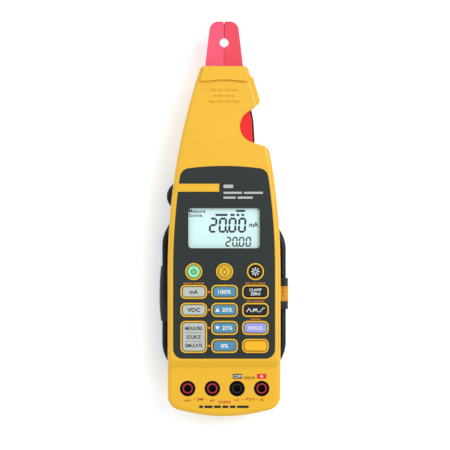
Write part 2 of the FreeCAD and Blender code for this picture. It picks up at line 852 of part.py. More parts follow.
def face_label():
    sheet_block = label_block("label", "fit_room", "label_floor_z", "label_thick")
    margin = "key_gap+collar_wall+fit_room"
    holes = [key_slab(f"{p[0]}_label_hole", p, margin, "4", "label_floor_z-1") for p in key_places()]
    holes.append(
        slab("label_window", "display_width", "display_height", "2", "4", 0, "display_y", "label_floor_z-1")
    )
    holes.append(tab("label_tab", "fit_room"))
    return part("face_label", cut("label_sheet", sheet_block, *holes))


# ---------------------------------------------------------------- back shell

def jack_x(i):
    return f"({i}-1.5)*jack_pitch+0.35"


def back_case(form, room):
    shell = cut("back_hollow", split("back_block", form, "0", "parting_height"), room)
    core = slab("bobbin", "2*bobbin_half_width", "bobbin_length", "bobbin_round", "back_z+1", 0, "bobbin_y")
    width, length = "2*(bay_half_width+bay_wall)", "bay_length+2*bay_wall"
    bay = box("bay_block", width, length, "bay_roof_z+bay_wall-back_z", 0, "bobbin_y", "back_z")
    solids = [shell, core, bay]
    for name, (x, y) in CASE_SCREWS.items():
        solids.append(
            cylinder(f"back_post_{name}", "boss_radius", "parting_height-back_z-0.9", x, y, "back_z+0.9")
        )
    solids.append(
        box(
            "jaw_rib_back",
            "rib_width",
            "rib_length",
            "rib_low_z-nose_back-0.4",
            "rib_x",
            "rib_y",
            "nose_back+0.4",
        ),
    )
    for i, y in enumerate(JAW_PINS):
        solids.append(cylinder(f"jaw_pin_{i}", "pin_radius", "8", "rib_x", y, "jaw_floor_z-2"))
    height = "pivot_low_z-nose_back-0.6"
    solids.append(cylinder("pivot_post_back", "pivot_post", height, "pivot_x", "pivot_y", "nose_back+0.6"))
    height = "parting_height+2-nose_back"
    solids.append(box("spring_stop", "1.6", "7", height, "spring_x-0.8", "spring_y", "nose_back"))
    for x, y in JACK_BOARD_POSTS:
        solids.append(cylinder("jack_board_post", "2", "jack_board_z-back_z-1", x, y, "back_z+1"))
    height = "sensor_board_z-nose_back"
    solids.append(cylinder("sensor_board_post", "1.8", height, "spring_x", "sensor_board_y", "nose_back"))
    body = fuse("back_solid", *solids)

    tools = [
        slab("door_opening", "2*door_half_width", "door_length", "8", "door_top_z+1", 0, "bobbin_y", "-1")
    ]
    tools.append(box("bay_room", "2*bay_half_width", "bay_length", "bay_roof_z", 0, "bobbin_y", "0"))
    for i, side in enumerate((-1, 1)):
        y = f"bobbin_y+{side}*door_screw_reach"
        end_y = f"bobbin_y+{side}*((bay_length+end_room_length)/2+bay_wall+0.1)"
        end = box(
            f"end_room_{i}",
            "end_room_width",
            "end_room_length",
            "back_inside_z",
            0,
            end_y,
            "door_top_z+1.6",
        )
        tools.append(cut(f"end_pocket_{i}", end, cylinder(f"door_post_{i}", "door_post", "back_z+9", 0, y)))
        tools.append(cylinder(f"door_bore_{i}", "screw_radius+0.05", "8.5", 0, y, "door_top_z-1"))
    for i, (x, y) in enumerate(CASE_SCREWS.values()):
        tools.append(cylinder(f"back_bore_{i}", "screw_radius+0.15", "40", x, y))
        tools.append(cylinder(f"head_well_{i}", "screw_head+0.2", "screw_seat", x, y))
    depth = "pivot_low_z-pivot_seat"
    tools.append(
        cylinder("pivot_socket_back", "pivot_radius+0.03", "pivot_seat+1", "pivot_x", "pivot_y", depth)
    )
    for i, side in enumerate((-1, 1)):
        x = f"{side}*(bobbin_half_width-0.45)"
        length = f"{('flap_length', 'strap_width')[i]}+2*fit_room"
        for j, z in enumerate(("door_recess", "lead_high_z+lead_radius+lead_room")):
            thick = "strap_thick+2*fit_room"
            tools.append(box(f"strap_slot_{i}_{j}", "0.9", length, thick, x, "strap_y", f"{z}-fit_room"))
    tools.append(cylinder("lead_hole", "lead_radius+1", "6", "lead_entry_x", "lead_entry_y", "back_z-1"))
    tools.append(
        cylinder("grommet_seat", "lead_radius+1.9", "0.8", "lead_entry_x", "lead_entry_y", "back_z-0.7")
    )
    tools.append(cylinder("relief_hole", "relief_stem+0.1", "6", "relief_x", "relief_y", "back_z-1"))
    tools.append(jaw_slot("back_slot"))
    return part("back_case", cut("back_shell", body, *tools))


# ---------------------------------------------------------------- jaws

def moving_plan():
    """Plan of the moving jaw and its lever, which are one piece that turns on the pivot pin."""
    seam = "jaw_gap/2"
    return [
        (seam, "tip_y", "1.2"),
        (seam, "pivot_y+2"),
        ("pivot_x-hub_radius+0.4", "pivot_y-3", "3"),
        ("lever_inner_x", "lever_foot_y", "2"),
        ("lever_foot_x", "lever_foot_y", "1.5"),
        ("lever_foot_x-0.9", "notch_y+5.2", "30"),
        ("lever_top_x", "notch_y+10.3", "10"),
        ("pivot_x+hub_radius-0.2", "pivot_y-4", "6"),
        ("jaw_base/2+0.5", "pivot_y+1", "6"),
        ("jaw_base/2-0.35", "mouth_y+2.4", "10"),
        ("jaw_tip/2-0.1", "tip_y", "jaw_tip_round"),
    ]


def fixed_plan():
    """Plan of the fixed jaw, with the tail that the two shells hold."""
    seam = "-jaw_gap/2"
    return [
        (seam, "tip_y", "1.2"),
        ("-(jaw_tip/2-0.1)", "tip_y", "jaw_tip_round"),
        ("-(jaw_base/2-0.35)", "mouth_y+2.4", "10"),
        ("-(jaw_base/2-0.2)", "mouth_y-11", "2"),
        ("-2.4", "mouth_y-11", "1"),
        (seam, "mouth_y-6"),
    ]


def core_ring(name, room):
    """The flat ring of a core, or the pocket for one with some room around it."""
    low, thick = f"parting_height-core_thick/2-{room}", f"core_thick+2*{room}"
    inner = cylinder(
        f"{name}_inside", f"core_inner-{room}", "2*core_thick", 0, "aperture_y", "parting_height-core_thick"
    )
    outer = cylinder(f"{name}_outside", f"core_outer+{room}", thick, 0, "aperture_y", low)
    return cut(f"{name}_ring", outer, inner)


def aperture(name):
    return cylinder(name, "aperture_radius", "jaw_thick+4", 0, "aperture_y", "jaw_floor_z-2")


def core(name, side):
    """Half of the ring that closes around the wire, flush with the seam between the jaws."""
    x, low = f"{side}*(core_outer+jaw_gap/2)", "parting_height-core_thick"
    half = box(f"{name}_half", "2*core_outer", "4*core_outer", "2*core_thick", x, "aperture_y", low)
    return part(name, common(f"{name}_piece", core_ring(name, "0"), half))


def jaws():
    """Both jaws, their cores, the pivot pin, the lever grip and the return spring."""
    blank = prism("moving_blank", outline("moving_plan", moving_plan(), "jaw_floor_z"), "jaw_thick")
    strip = prism("grip_strip", outline("grip_plan", grip_plan(), "jaw_floor_z-1"), "jaw_thick+2")
    hub = cylinder("hub", "hub_radius", "jaw_thick", "pivot_x", "pivot_y", "jaw_floor_z")
    bore = cylinder(
        "hub_bore", "pivot_radius+pivot_room", "jaw_thick+2", "pivot_x", "pivot_y", "jaw_floor_z-1"
    )
    whole = fuse("moving_whole", blank, hub)
    tools = [bore, aperture("moving_aperture"), core_ring("moving_pocket", "core_room"), strip]
    moving = cut("moving_jaw_body", whole, *tools)
    part("moving_jaw", fillet("moving_jaw_soft", moving, "jaw_edge", is_jaw_edge))
    part("lever_grip", common("grip", strip, blank))
    fixed = prism("fixed_blank", outline("fixed_plan", fixed_plan(), "jaw_floor_z"), "jaw_thick")
    tools = [aperture("fixed_aperture"), core_ring("fixed_pocket", "core_room")]
    for i, y in enumerate(JAW_PINS):
        tools.append(cylinder(f"jaw_pin_hole_{i}", "pin_radius+0.05", "6.2", "rib_x", y, "jaw_floor_z-0.1"))
    fixed = cut("fixed_jaw_body", fixed, *tools)
    part("fixed_jaw", fillet("fixed_jaw_soft", fixed, "jaw_edge", is_jaw_edge))
    core("moving_core", 1)
    core("fixed_core", -1)
    low = "pivot_low_z-pivot_seat+0.05"
    part(
        "pivot_pin",
        cylinder("pin", "pivot_radius", f"2*(parting_height-({low}))", "pivot_x", "pivot_y", low),
    )


def is_jaw_edge(shape, edge):
    """Edges of a jaw's upper and lower face outside the case, but for the seam and the aperture."""
    spot = middle(edge)
    outer = abs(abs(spot.z - number("parting_height")) - number("jaw_thick/2")) < 1e-3
    flat = edge.BoundBox.ZLength < 1e-4
    clear = math.hypot(spot.x, spot.y - number("aperture_y")) > number("aperture_radius+0.5")
    return flat and outer and clear and abs(spot.x) > number("jaw_gap") and spot.y > number("mouth_y")


def grip_plan():
    """The dark strip along the outer edge of the lever, in plan."""
    inner = [
        ("lever_foot_x-grip_thick", "lever_foot_y+0.9"),
        ("lever_foot_x-0.9-grip_thick", "notch_y+5.2"),
        ("lever_top_x-grip_thick", "notch_y+9.4"),
    ]
    return inner + [("lever_foot_x+2", "notch_y+9.4"), ("lever_foot_x+2", "lever_foot_y+0.9")]


def coil_spring(name, radius, wire, height, pitch, x, y, z, rotation):
    """A coil of round wire about its own Z."""
    helix = doc.addObject("Part::Helix", f"{name}_path")
    helix.setExpression("Radius", spelled(radius))
    helix.setExpression("Height", spelled(height))
    helix.setExpression("Pitch", spelled(pitch))
    circle = doc.addObject("Part::Circle", f"{name}_wire")
    circle.setExpression("Radius", spelled(wire))
    place(circle, radius, 0, 0, Rotation(Vector(1, 0, 0), 90))
    made = doc.addObject("Part::Sweep", name)
    made.Sections = [circle]
    made.Spine = (helix, ["Edge1"])
    made.Solid = True
    made.Frenet = True
    return place(made, x, y, z, rotation)


# ---------------------------------------------------------------- electronics

def electronics():
    inset = doc.addObject("Part::Offset2D", "board_inset")
    inset.Source = outline("board_case", plan_corners())
    inset.setExpression("Value", spelled("-(side_wall+0.6)"))
    plan = place(prism("board_plan", inset, "board_thick"), 0, 0, "board_z")
    board_y = "label_top_y-2.5-board_length/2"
    span = box("board_span", "case_width", "board_length", "board_thick", 0, board_y, "board_z")
    holes = []
    for i, (x, y) in enumerate(BOARD_SCREWS):
        holes.append(cylinder(f"board_hole_{i}", "board_screw+0.15", "4", x, y, "board_z-1"))
    part("main_board", cut("main_board_body", common("board_blank", plan, span), *holes))
    made = []
    for i, (x, y, width, length, thick) in enumerate(CHIPS):
        made.append(box(f"chip_{i}", width, length, thick, x, f"{board_y}+({y})", f"board_z-{thick}"))
    part("board_chips", compound("chip_group", made))

    width, height = "display_width+2+2*holder_wall", "display_height+2+2*holder_wall"
    frame = slab("holder_frame", width, height, "1", "holder_height", 0, "display_y", "post_z")
    glass_z = "post_z+1.2"
    width, height = "display_width+2", "display_height+2.8"
    part("display_glass", box("glass", width, height, "glass_thick", 0, "display_y", glass_z))
    wells = [box("glass_seat", f"{width}+0.2", f"{height}+0.2", "4", 0, "display_y", glass_z)]
    width, height = "display_width-4.2", "display_height-7.2"
    part("display_light", box("light", width, height, "light_thick", 0, "display_y", "post_z"))
    wells.append(box("light_well", f"{width}+0.2", f"{height}+0.2", "6", 0, "display_y", "post_z-1"))
    strips = []
    for side in (-1, 1):
        y = f"display_y+{side}*bars_y"
        wells.append(
            box(f"strip_well_{side + 1}", f"{width}+0.2", "strip_width+0.2", "6", 0, y, "post_z-1")
        )
        strips.append(box(f"strip_{side + 1}", width, "strip_width", "1.2", 0, y, "post_z"))
    part("display_holder", cut("holder", frame, *wells))
    part("contact_strips", compound("strip_group", strips))
    part("display_window", window_slab("window", "fit_room", "window_thick", "label_floor_z-window_thick"))

    width, height = "3*column_pitch-4", "3*row_pitch+26"
    mat_y = "base_y+row_rise+1.5*row_pitch+6.2"
    mat = slab("mat_sheet", width, height, "3", "mat_thick", COLUMNS["middle"], mat_y, "mat_z")
    domes = []
    for node, x, y, *_ in key_places():
        domes.append(cylinder(f"{node}_dome", "dome_radius", "dome_height", x, y, "mat_z+mat_thick"))
    part("keypad_mat", fuse("mat", mat, *domes))
    for p in key_places():
        part(p[0], key(p))

    screws = []
    for i, (x, y) in enumerate(BOARD_SCREWS):
        head = ("board_screw_head", "1.3", x, y, "board_z-1.3")
        screws.append(screw(f"board_screw_{i}", "board_screw", "board_thick+2.3", *head))
    part("board_screws", compound("board_screw_group", screws))

    size = ("small_board_width", "small_board_length", "small_board_thick")
    part("sensor_board", box("small_board", *size, "spring_x", "sensor_board_y", "sensor_board_z"))
    lamp = [
        ("0", "0"),
        ("lamp_radius", "0"),
        ("lamp_radius", "5.6"),
        ("lamp_radius-0.2", "6.6"),
        ("lamp_radius-0.7", "7.3"),
        ("0", "7.5"),
    ]
    part("spot_lamp", turned("lamp", lamp, "lamp_x", "mouth_y-7.2", "lamp_z", ALONG_Y))


def compound(name, shapes):
    made = doc.addObject("Part::Compound", name)
    made.Links = list(shapes)
    return made


# ---------------------------------------------------------------- input jacks

JACKS = ("jack_loop", "jack_milliamp", "jack_common", "jack_volt")


def input_jacks():
    """Four shrouded jacks, a sprung metal sleeve in each, and the board that the sleeves stand on."""
    depth = "jack_groove_depth"
    sleeves = []
    for i, node in enumerate(JACKS):
        cup = "jack_hole-0.1"
        under = f"{depth}-(jack_face_z-jack_inside_z)"
        corners = [
            ("plug_radius+contact_wall", "-1.5"),
            (cup, "-1.5"),
            (cup, f"{under}-0.1-1.6"),
            ("jack_flange", f"{under}-0.1-1.6"),
            ("jack_flange", f"{under}-0.1"),
            (cup, f"{under}-0.1"),
            (cup, f"{depth}-0.3"),
            ("jack_groove", f"{depth}-0.3"),
            ("jack_groove", "0"),
            ("jack_tube", "0"),
            ("jack_tube", f"{depth}-0.5"),
            ("jack_tube-0.3", f"{depth}-0.2"),
            ("plug_radius+contact_wall", f"{depth}-0.2"),
        ]
        part(node, turned(f"{node}_shroud", corners, jack_x(i), "jack_y", f"jack_face_z-{depth}"))
        sleeve = [
            ("plug_radius", "1.6"),
            ("0", "1.6"),
            ("0", "-1.6"),
            ("1", "-1.6"),
            ("1", "0"),
            ("plug_radius+contact_wall", "0"),
            ("plug_radius+contact_wall", f"{depth}+1.2"),
            ("plug_radius", f"{depth}+1.2"),
        ]
        sleeves.append(turned(f"sleeve_{i}", sleeve, jack_x(i), "jack_y", f"jack_face_z-{depth}-2.6"))
    part("jack_sleeves", compound("sleeve_group", sleeves))
    board = slab(
        "jack_board_blank", "3*jack_pitch+12", "16", "1", "1.6", "0.35", "jack_y-0.5", "jack_board_z"
    )
    holes = []
    for i in range(4):
        holes.append(cylinder(f"pin_hole_{i}", "1.05", "4", jack_x(i), "jack_y", "jack_board_z-1"))
    x, y = CASE_SCREWS["foot"]
    holes.append(cylinder("post_hole", "boss_radius+0.3", "4", x, y, "jack_board_z-1"))
    part("jack_board", cut("jack_board_body", board, *holes))


# ---------------------------------------------------------------- batteries, door and case screws

def power():
    pitch = "2*cell_radius+cell_gap"
    plates = []
    for i in range(4):
        x = f"({i}-1.5)*({pitch})"
        up = i % 2 == 0
        corners = [
            ("0", "0"),
            ("cell_radius-0.6", "0"),
            ("cell_radius", "0.6"),
            ("cell_radius", "cell_length-1.6"),
            ("cell_radius-0.6", "cell_length-1"),
            ("2.7", "cell_length-1"),
            ("2.7", "cell_length"),
            ("0", "cell_length"),
        ]
        inner_end = "bay_length/2-contact_thick-cell_gap/2"
        sign = 1 if up else -1
        start = f"bobbin_y+{sign}*({inner_end}-cell_length)"
        turn = ALONG_Y if up else Rotation(Vector(1, 0, 0), 90)
        part(f"battery_cell_{i + 1}", turned(f"cell_{i}", corners, x, start, "cell_z", turn))
        for side in (-1, 1):
            y = f"bobbin_y+{side}*(bay_length/2-contact_thick/2)"
            size = ("plate_width", "contact_thick", "plate_height")
            plates.append(box(f"plate_{i}_{side + 1}", *size, x, y, "cell_z-plate_height/2"))
        spring_y = f"bobbin_y-{sign}*(bay_length/2-contact_thick-spring_wire)"
        size = ("cell_spring_radius", "spring_wire", "spring_length-2*spring_wire", "cell_spring_pitch")
        plates.append(coil_spring(f"cell_spring_{i}", *size, x, spring_y, "cell_z", turn))
    part("battery_contacts", compound("contact_group", plates))

    size = ("2*(door_half_width-door_gap)", "door_length-2*door_gap", "8-door_gap", "door_thick")
    blank = slab("door_blank", *size, 0, "bobbin_y", "door_recess")
    holes = []
    for i, side in enumerate((-1, 1)):
        y = f"bobbin_y+{side}*door_screw_reach"
        holes.append(cylinder(f"door_hole_{i}", "screw_radius+0.08", "4", 0, y))
        holes.append(cylinder(f"door_well_{i}", "screw_head+0.1", "1.2", 0, y, "door_recess-0.1"))
        head = ("screw_head", "1", 0, y, "door_recess+0.05")
        shank = screw(f"door_screw_blank_{i}", "screw_radius", "8", *head)
        slot = box(f"door_screw_slot_{i}", "0.8", "4.4", "0.5", 0, y, "door_recess")
        part(("door_screw_lower", "door_screw_upper")[i], cut(f"door_screw_{i}", shank, slot))
    part("battery_door", cut("door", blank, *holes))
    screws = []
    for name, (x, y) in CASE_SCREWS.items():
        head = ("screw_head", "screw_head_height", x, y, "screw_seat-screw_head_height")
        screws.append(screw(f"case_screw_{name}", "screw_radius", "14", *head))
    part("case_screws", compound("case_screw_group", screws))


# ---------------------------------------------------------------- sensor lead, reliefs and keepers

def slot(column, row):
    """Half width, half length, height and bend of one place for the lead beside the bobbin."""
    off = f"lead_off+{column}*lead_pitch"
    height = ("lead_low_z", "lead_high_z")[row]
    return f"(bobbin_half_width+{off})", f"(bobbin_length/2+{off})", height, f"bobbin_round+{off}"


def lead_corners():
    """The lead's path: in through the back, three turns around the bobbin, and up to the head."""
    inner_high, inner_low, outer_low, outer_high = slot(0, 1), slot(0, 0), slot(1, 0), slot(1, 1)
    path = [("lead_entry_x", "lead_entry_y", "back_z+2.5", "0")]
    path.append(("lead_entry_x", "lead_entry_y", "lead_high_z", "strap_bend"))
    turns = [(inner_high, inner_low, -3), (inner_low, outer_low, 5), (outer_low, outer_high, 12.6)]
    for this, that, x in turns:
        half, length, z, bend = this
        for sx, sy in ((-1, -1), (-1, 1), (1, 1), (1, -1)):
            path.append((f"{sx}*{half}", f"bobbin_y+({sy})*{length}", z, bend))
        path.append((f"{x}+1.4", f"bobbin_y-{length}", z, "lead_bend"))
        path.append((f"{x}-1.4", f"bobbin_y-{that[1]}", that[2], "lead_bend"))
    half, length, z, bend = outer_high
    path.append((f"-{half}", f"bobbin_y-{length}", z, bend))
    path.append((f"-{half}", "bobbin_y+37", z, "20"))
    path.append(("-28", "bobbin_y+53.8", z, "5"))
    path.append(("-37.2", "bobbin_y+63", z, "7.3"))
    path.append(("-26", "relief_y", z, "6"))
    path.append(("relief_x", "relief_y", z, "0"))
    return path


def lead_path(name):
    """The centre line, as straight runs joined by tangent arcs in space."""
    corners = [(Vector(number(x), number(y), number(z)), number(r)) for x, y, z, r in lead_corners()]
    edges = []
    last = corners[0][0]
    for (before, _), (corner, radius), (after, _) in zip(corners, corners[1:], corners[2:]):
        start, end, centre = round_corner(before, corner, after, radius)
        if (start - last).Length > 1e-4:
            edges.append(Part.makeLine(last, start))
        mid = centre + (corner - centre).normalize() * radius
        edges.append(Part.Arc(start, mid, end).toShape())
        last = end
    edges.append(Part.makeLine(last, corners[-1][0]))
    made = doc.addObject("Part::Feature", name)
    made.Shape = Part.Wire(edges)
    print("lead bends", [round(r, 1) for _, r in corners if r])
    print("lead length", round(made.Shape.Length, 1))
    return made, len(edges)


def lead_and_keepers():
    path, count = lead_path("lead_path")
    circle = doc.addObject("Part::Circle", "lead_section")
    circle.setExpression("Radius", spelled("lead_radius"))
    place(circle, "lead_entry_x", "lead_entry_y", "back_z+2.5")
    lead = doc.addObject("Part::Sweep", "lead_sweep")
    lead.Sections = [circle]
    lead.Spine = (path, [f"Edge{i + 1}" for i in range(count)])
    lead.Solid = True
    lead.Transition = "Transformed"
    part("sensor_lead", lead)

    collar = [
        ("lead_radius", "-0.6"),
        ("lead_radius+1.8", "-0.6"),
        ("lead_radius+1.8", "-0.05"),
        ("lead_radius+0.95", "-0.05"),
        ("lead_radius+0.95", "back_wall+0.05"),
        ("lead_radius+1.6", "back_wall+0.05"),
        ("lead_radius+1.6", "back_wall+0.9"),
        ("lead_radius", "back_wall+0.9"),
    ]
    part("lead_grommet", turned("grommet", collar, "lead_entry_x", "lead_entry_y", "back_z"))
    size = ("relief_length", "relief_width", "2", "back_z-relief_low_z+0.05")
    block = slab("relief_block", *size, "relief_x+1", "relief_y", "relief_low_z")
    stem = cylinder("relief_peg", "relief_stem", "4", "relief_x", "relief_y", "back_z-0.5")
    bore = cylinder(
        "relief_bore", "lead_radius+0.02", "4.5", "relief_x-4.5", "relief_y", "lead_high_z", ALONG_X
    )
    part("head_relief", cut("relief", fuse("relief_whole", block, stem), bore))

    stripe = keeper("stripe", "stripe_width", 1, "stripe_thick", "bobbin_half_width+fit_room")
    part("right_keeper", cut("right_keeper_body", keeper("right_band", "strap_width", 1), stripe))
    part("keeper_stripe", stripe)
    part("left_keeper", keeper("left_band", "flap_length", -1))


def keeper(name, length, side, thick="strap_thick", near="bobbin_half_width-0.8"):
    """A band folded around the lead; the keepers' own ends are let into the bobbin."""
    low, top = "door_recess", "lead_high_z+lead_radius+lead_room+strap_thick"
    corners = [
        (near, low),
        ("strap_outer_x", low, "strap_bend"),
        ("strap_outer_x", top, "strap_bend"),
        (near, top),
        (near, f"{top}-{thick}"),
        (f"strap_outer_x-{thick}", f"{top}-{thick}", f"strap_bend-{thick}"),
        (f"strap_outer_x-{thick}", f"{low}+{thick}", f"strap_bend-{thick}"),
        (near, f"{low}+{thick}"),
    ]
    if side < 0:
        corners = [(f"-({x})", z, *r) for x, z, *r in reversed(corners)]
    end_view = Rotation(Vector(1, 0, 0), 90)
    profile = outline(f"{name}_profile", corners, 0, end_view, 0, f"strap_y+({length})/2")
    return prism(name, profile, length, Vector(0, -1, 0))


# ---------------------------------------------------------------- build, check and write

def build():
    form = case_form()
    room = cavity("case_room")
    front_case(form, room)
    back_case(form, room)
    face_label()
    jaws()
    size = ("spring_radius", "spring_wire", "spring_reach", "spring_pitch")
    part(
        "jaw_spring",
        coil_spring("return_spring", *size, "spring_x+0.4", "spring_y", "parting_height-1", ALONG_X),
    )
    electronics()
    input_jacks()
    power()
    lead_and_keepers()


def write():
    """Checks every object and sub-part, then writes one STEP file for each sub-part."""
    bad = [thing.Name for thing in doc.Objects if "Invalid" in thing.State or "Error" in thing.State]
    for node, thing in PARTS.items():
        shape = thing.Shape
        if shape.isNull() or not shape.isValid() or not shape.Solids:
            bad.append(node)
    if bad:
        raise ValueError(f"These failed: {sorted(set(bad))}")
    os.makedirs("parts", exist_ok=True)
    for node, thing in PARTS.items():
        thing.Shape.exportStep(os.path.join("parts", f"{node}.step"))
        print(node, len(thing.Shape.Solids), [round(v, 2) for v in bounds(thing.Shape)])


def bounds(shape):
    b = shape.BoundBox
    return b.XMin, b.YMin, b.ZMin, b.XMax, b.YMax, b.ZMax


build()
doc.recompute()
write()
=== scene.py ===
"""Looks of a hand-held process clamp meter: finishes, printing and small trim around its CAD frame."""

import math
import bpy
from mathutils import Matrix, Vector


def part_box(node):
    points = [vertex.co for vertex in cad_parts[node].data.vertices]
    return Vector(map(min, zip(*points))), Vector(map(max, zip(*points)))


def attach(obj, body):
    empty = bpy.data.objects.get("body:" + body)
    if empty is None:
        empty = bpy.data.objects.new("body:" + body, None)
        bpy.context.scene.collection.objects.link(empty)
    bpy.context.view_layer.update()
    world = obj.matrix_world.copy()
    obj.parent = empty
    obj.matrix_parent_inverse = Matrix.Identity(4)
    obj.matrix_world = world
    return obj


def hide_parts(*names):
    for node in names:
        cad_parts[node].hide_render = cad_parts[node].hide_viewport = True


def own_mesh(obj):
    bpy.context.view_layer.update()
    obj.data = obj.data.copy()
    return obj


bl_info = {
    "name": "Clamp Meter Looks",
    "version": (1, 0, 0),
    "blender": (4, 5, 0),
    "location": "3D View > Sidebar > Meter",
    "description": "Finishes, prints and trims a hand-held clamp meter around its CAD frame",
    "category": "Object",
}

import bmesh
import bpy
from bpy.props import FloatProperty, FloatVectorProperty, PointerProperty
from mathutils import Matrix, Vector

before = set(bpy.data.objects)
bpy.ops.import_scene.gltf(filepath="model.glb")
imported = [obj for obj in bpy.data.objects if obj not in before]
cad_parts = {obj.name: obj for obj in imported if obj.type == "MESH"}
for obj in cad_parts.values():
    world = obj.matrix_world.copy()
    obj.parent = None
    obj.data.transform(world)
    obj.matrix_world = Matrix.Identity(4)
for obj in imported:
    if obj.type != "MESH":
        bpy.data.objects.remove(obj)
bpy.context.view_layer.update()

MM = 0.001
PRINT_OVERLAP = 0.005 * MM  # how far printing starts inside the face that it is on
STEP_KEYS = ("key_full_scale", "key_step_up", "key_step_down", "key_zero_scale")
JACKS = ("jack_loop", "jack_milliamp", "jack_common", "jack_volt")


def srgb(red, green, blue):
    """A screen colour, 0 to 255 each, as the linear colour that Blender's sockets take."""

    def linear(level):
        level /= 255
        return level / 12.92 if level <= 0.04045 else ((level + 0.055) / 1.055) ** 2.4

    return tuple(linear(level) for level in (red, green, blue))


PLATING = srgb(176, 176, 180)

# ---------------------------------------------------------------- settings that a user would change


COLOURS = {
    "case": ("Moulded shells, key rings and battery door", 228, 174, 26),
    # Painted shade on the raised marks of the nose: a darker orange for the shading of their moulded relief.
    "mark": ("Raised marks on the nose", 220, 150, 30),
    "label": ("Printed film on the face", 20, 32, 29),
    "fixed_jaw": ("Moulded shell of the fixed jaw", 234, 80, 108),
    "moving_jaw": ("Moulded shell of the moving jaw", 228, 66, 88),
    "lever": ("Lever on the moving jaw", 232, 14, 14),
    "display": ("Lit background of the display", 206, 238, 236),
    "segment": ("Dark segments of the display", 4, 8, 10),
    "power_key": ("Cap of the power key", 128, 206, 148),
    "lamp_key": ("Cap of the lamp key", 234, 186, 44),
    "shift_key": ("Cap of the shift key", 240, 174, 14),
    "black_key": ("Caps of the black keys", 14, 15, 19),
    "grey_key": ("Caps of the grey keys", 178, 184, 178),
    "blue_key": ("Caps of the step keys", 76, 132, 163),
    "hold_key": ("Cap of the hold key", 146, 150, 214),
    "ink_light": ("Light lettering", 232, 236, 236),
    "ink_dark": ("Dark lettering", 20, 20, 20),
    "ink_orange": ("Dots and small marks between the keys", 214, 130, 44),
    "ink_red": ("Lettering beside the jacks", 206, 62, 34),
    "jack_red": ("Middle tubes of the three red jacks", 186, 30, 52),
    # Also the painted shade in the groove round the middle tube of each red jack; the common jack is black
    # throughout.
    "jack_black": ("Shrouds of the jacks", 10, 10, 12),
    "lead": ("Jacket of the lead", 9, 9, 10),
    "strap": ("Woven keepers", 12, 12, 14),
    "stripe": ("Stripe across the right keeper", 224, 140, 16),
    "board": ("Solder mask of the boards", 20, 92, 44),
}


def colour(key, description, *default):
    name = key.replace("_", " ").capitalize()
    looks = {"subtype": "COLOR", "min": 0, "max": 1, "default": srgb(*default)}
    return FloatVectorProperty(name=name, description=description, **looks)


def setting(name, description, default, unit="LENGTH"):
    return FloatProperty(name=name, description=description, unit=unit, default=default)


class MeterColours(bpy.types.PropertyGroup):
    """Colours of the meter's finishes."""

    __annotations__ = {key: colour(key, *row) for key, row in COLOURS.items()}


class MeterSizes(bpy.types.PropertyGroup):
    """Sizes of the printing and trim."""

    ink: setting("Ink", "Thickness of printing", 0.03 * MM)
    raised: setting("Raised ink", "Thickness of the lettering on the keys", 0.05 * MM)
    grain: setting("Grain", "Size of the moulded grain on the case", 0.45 * MM)
    weave: setting("Weave", "Pitch of the threads in the keepers", 0.9 * MM)


class MeterStage(bpy.types.PropertyGroup):
    """Camera and lights."""

    lens: setting("Lens", "Focal length", 200, "CAMERA")
    frame_width: setting("Frame width", "Width of the view at the face", 281 * MM)
    centre_x: setting("Centre X", "Middle of the view across the meter", 0.56 * MM)
    centre_y: setting("Centre Y", "Middle of the view along the meter", -4.15 * MM)
    key_light: setting("Key light", "Power of the main light", 27, "POWER")
    fill_light: setting("Fill light", "Power of the fill light", 9, "POWER")
    surround: setting("Surround", "Strength of the even light all round", 0.6, "NONE")


# ---------------------------------------------------------------- materials


class Value:
    """A number on a socket that takes part in Python sums; each sum adds its Math node."""

    def __init__(self, finish, socket):
        self.finish, self.socket = finish, socket

    def worked(self, operation, *values, **settings):
        settings["operation"] = operation
        node = self.finish.node("ShaderNodeMath", settings, dict(enumerate(values)))
        return Value(self.finish, node.outputs[0])

    def __add__(self, other):
        return self.worked("ADD", self, other)

    __radd__ = __add__

    def __sub__(self, other):
        return self.worked("SUBTRACT", self, other)

    def __rsub__(self, other):
        return self.worked("SUBTRACT", other, self)

    def __mul__(self, other):
        return self.worked("MULTIPLY", self, other)

    def __truediv__(self, other):
        return self.worked("DIVIDE", self, other)

    def __gt__(self, other):
        return self.worked("GREATER_THAN", self, other)

    def __abs__(self):
        return self.worked("ABSOLUTE", self)

    def clamped(self):
        return self.worked("ADD", self, 0.0, use_clamp=True)


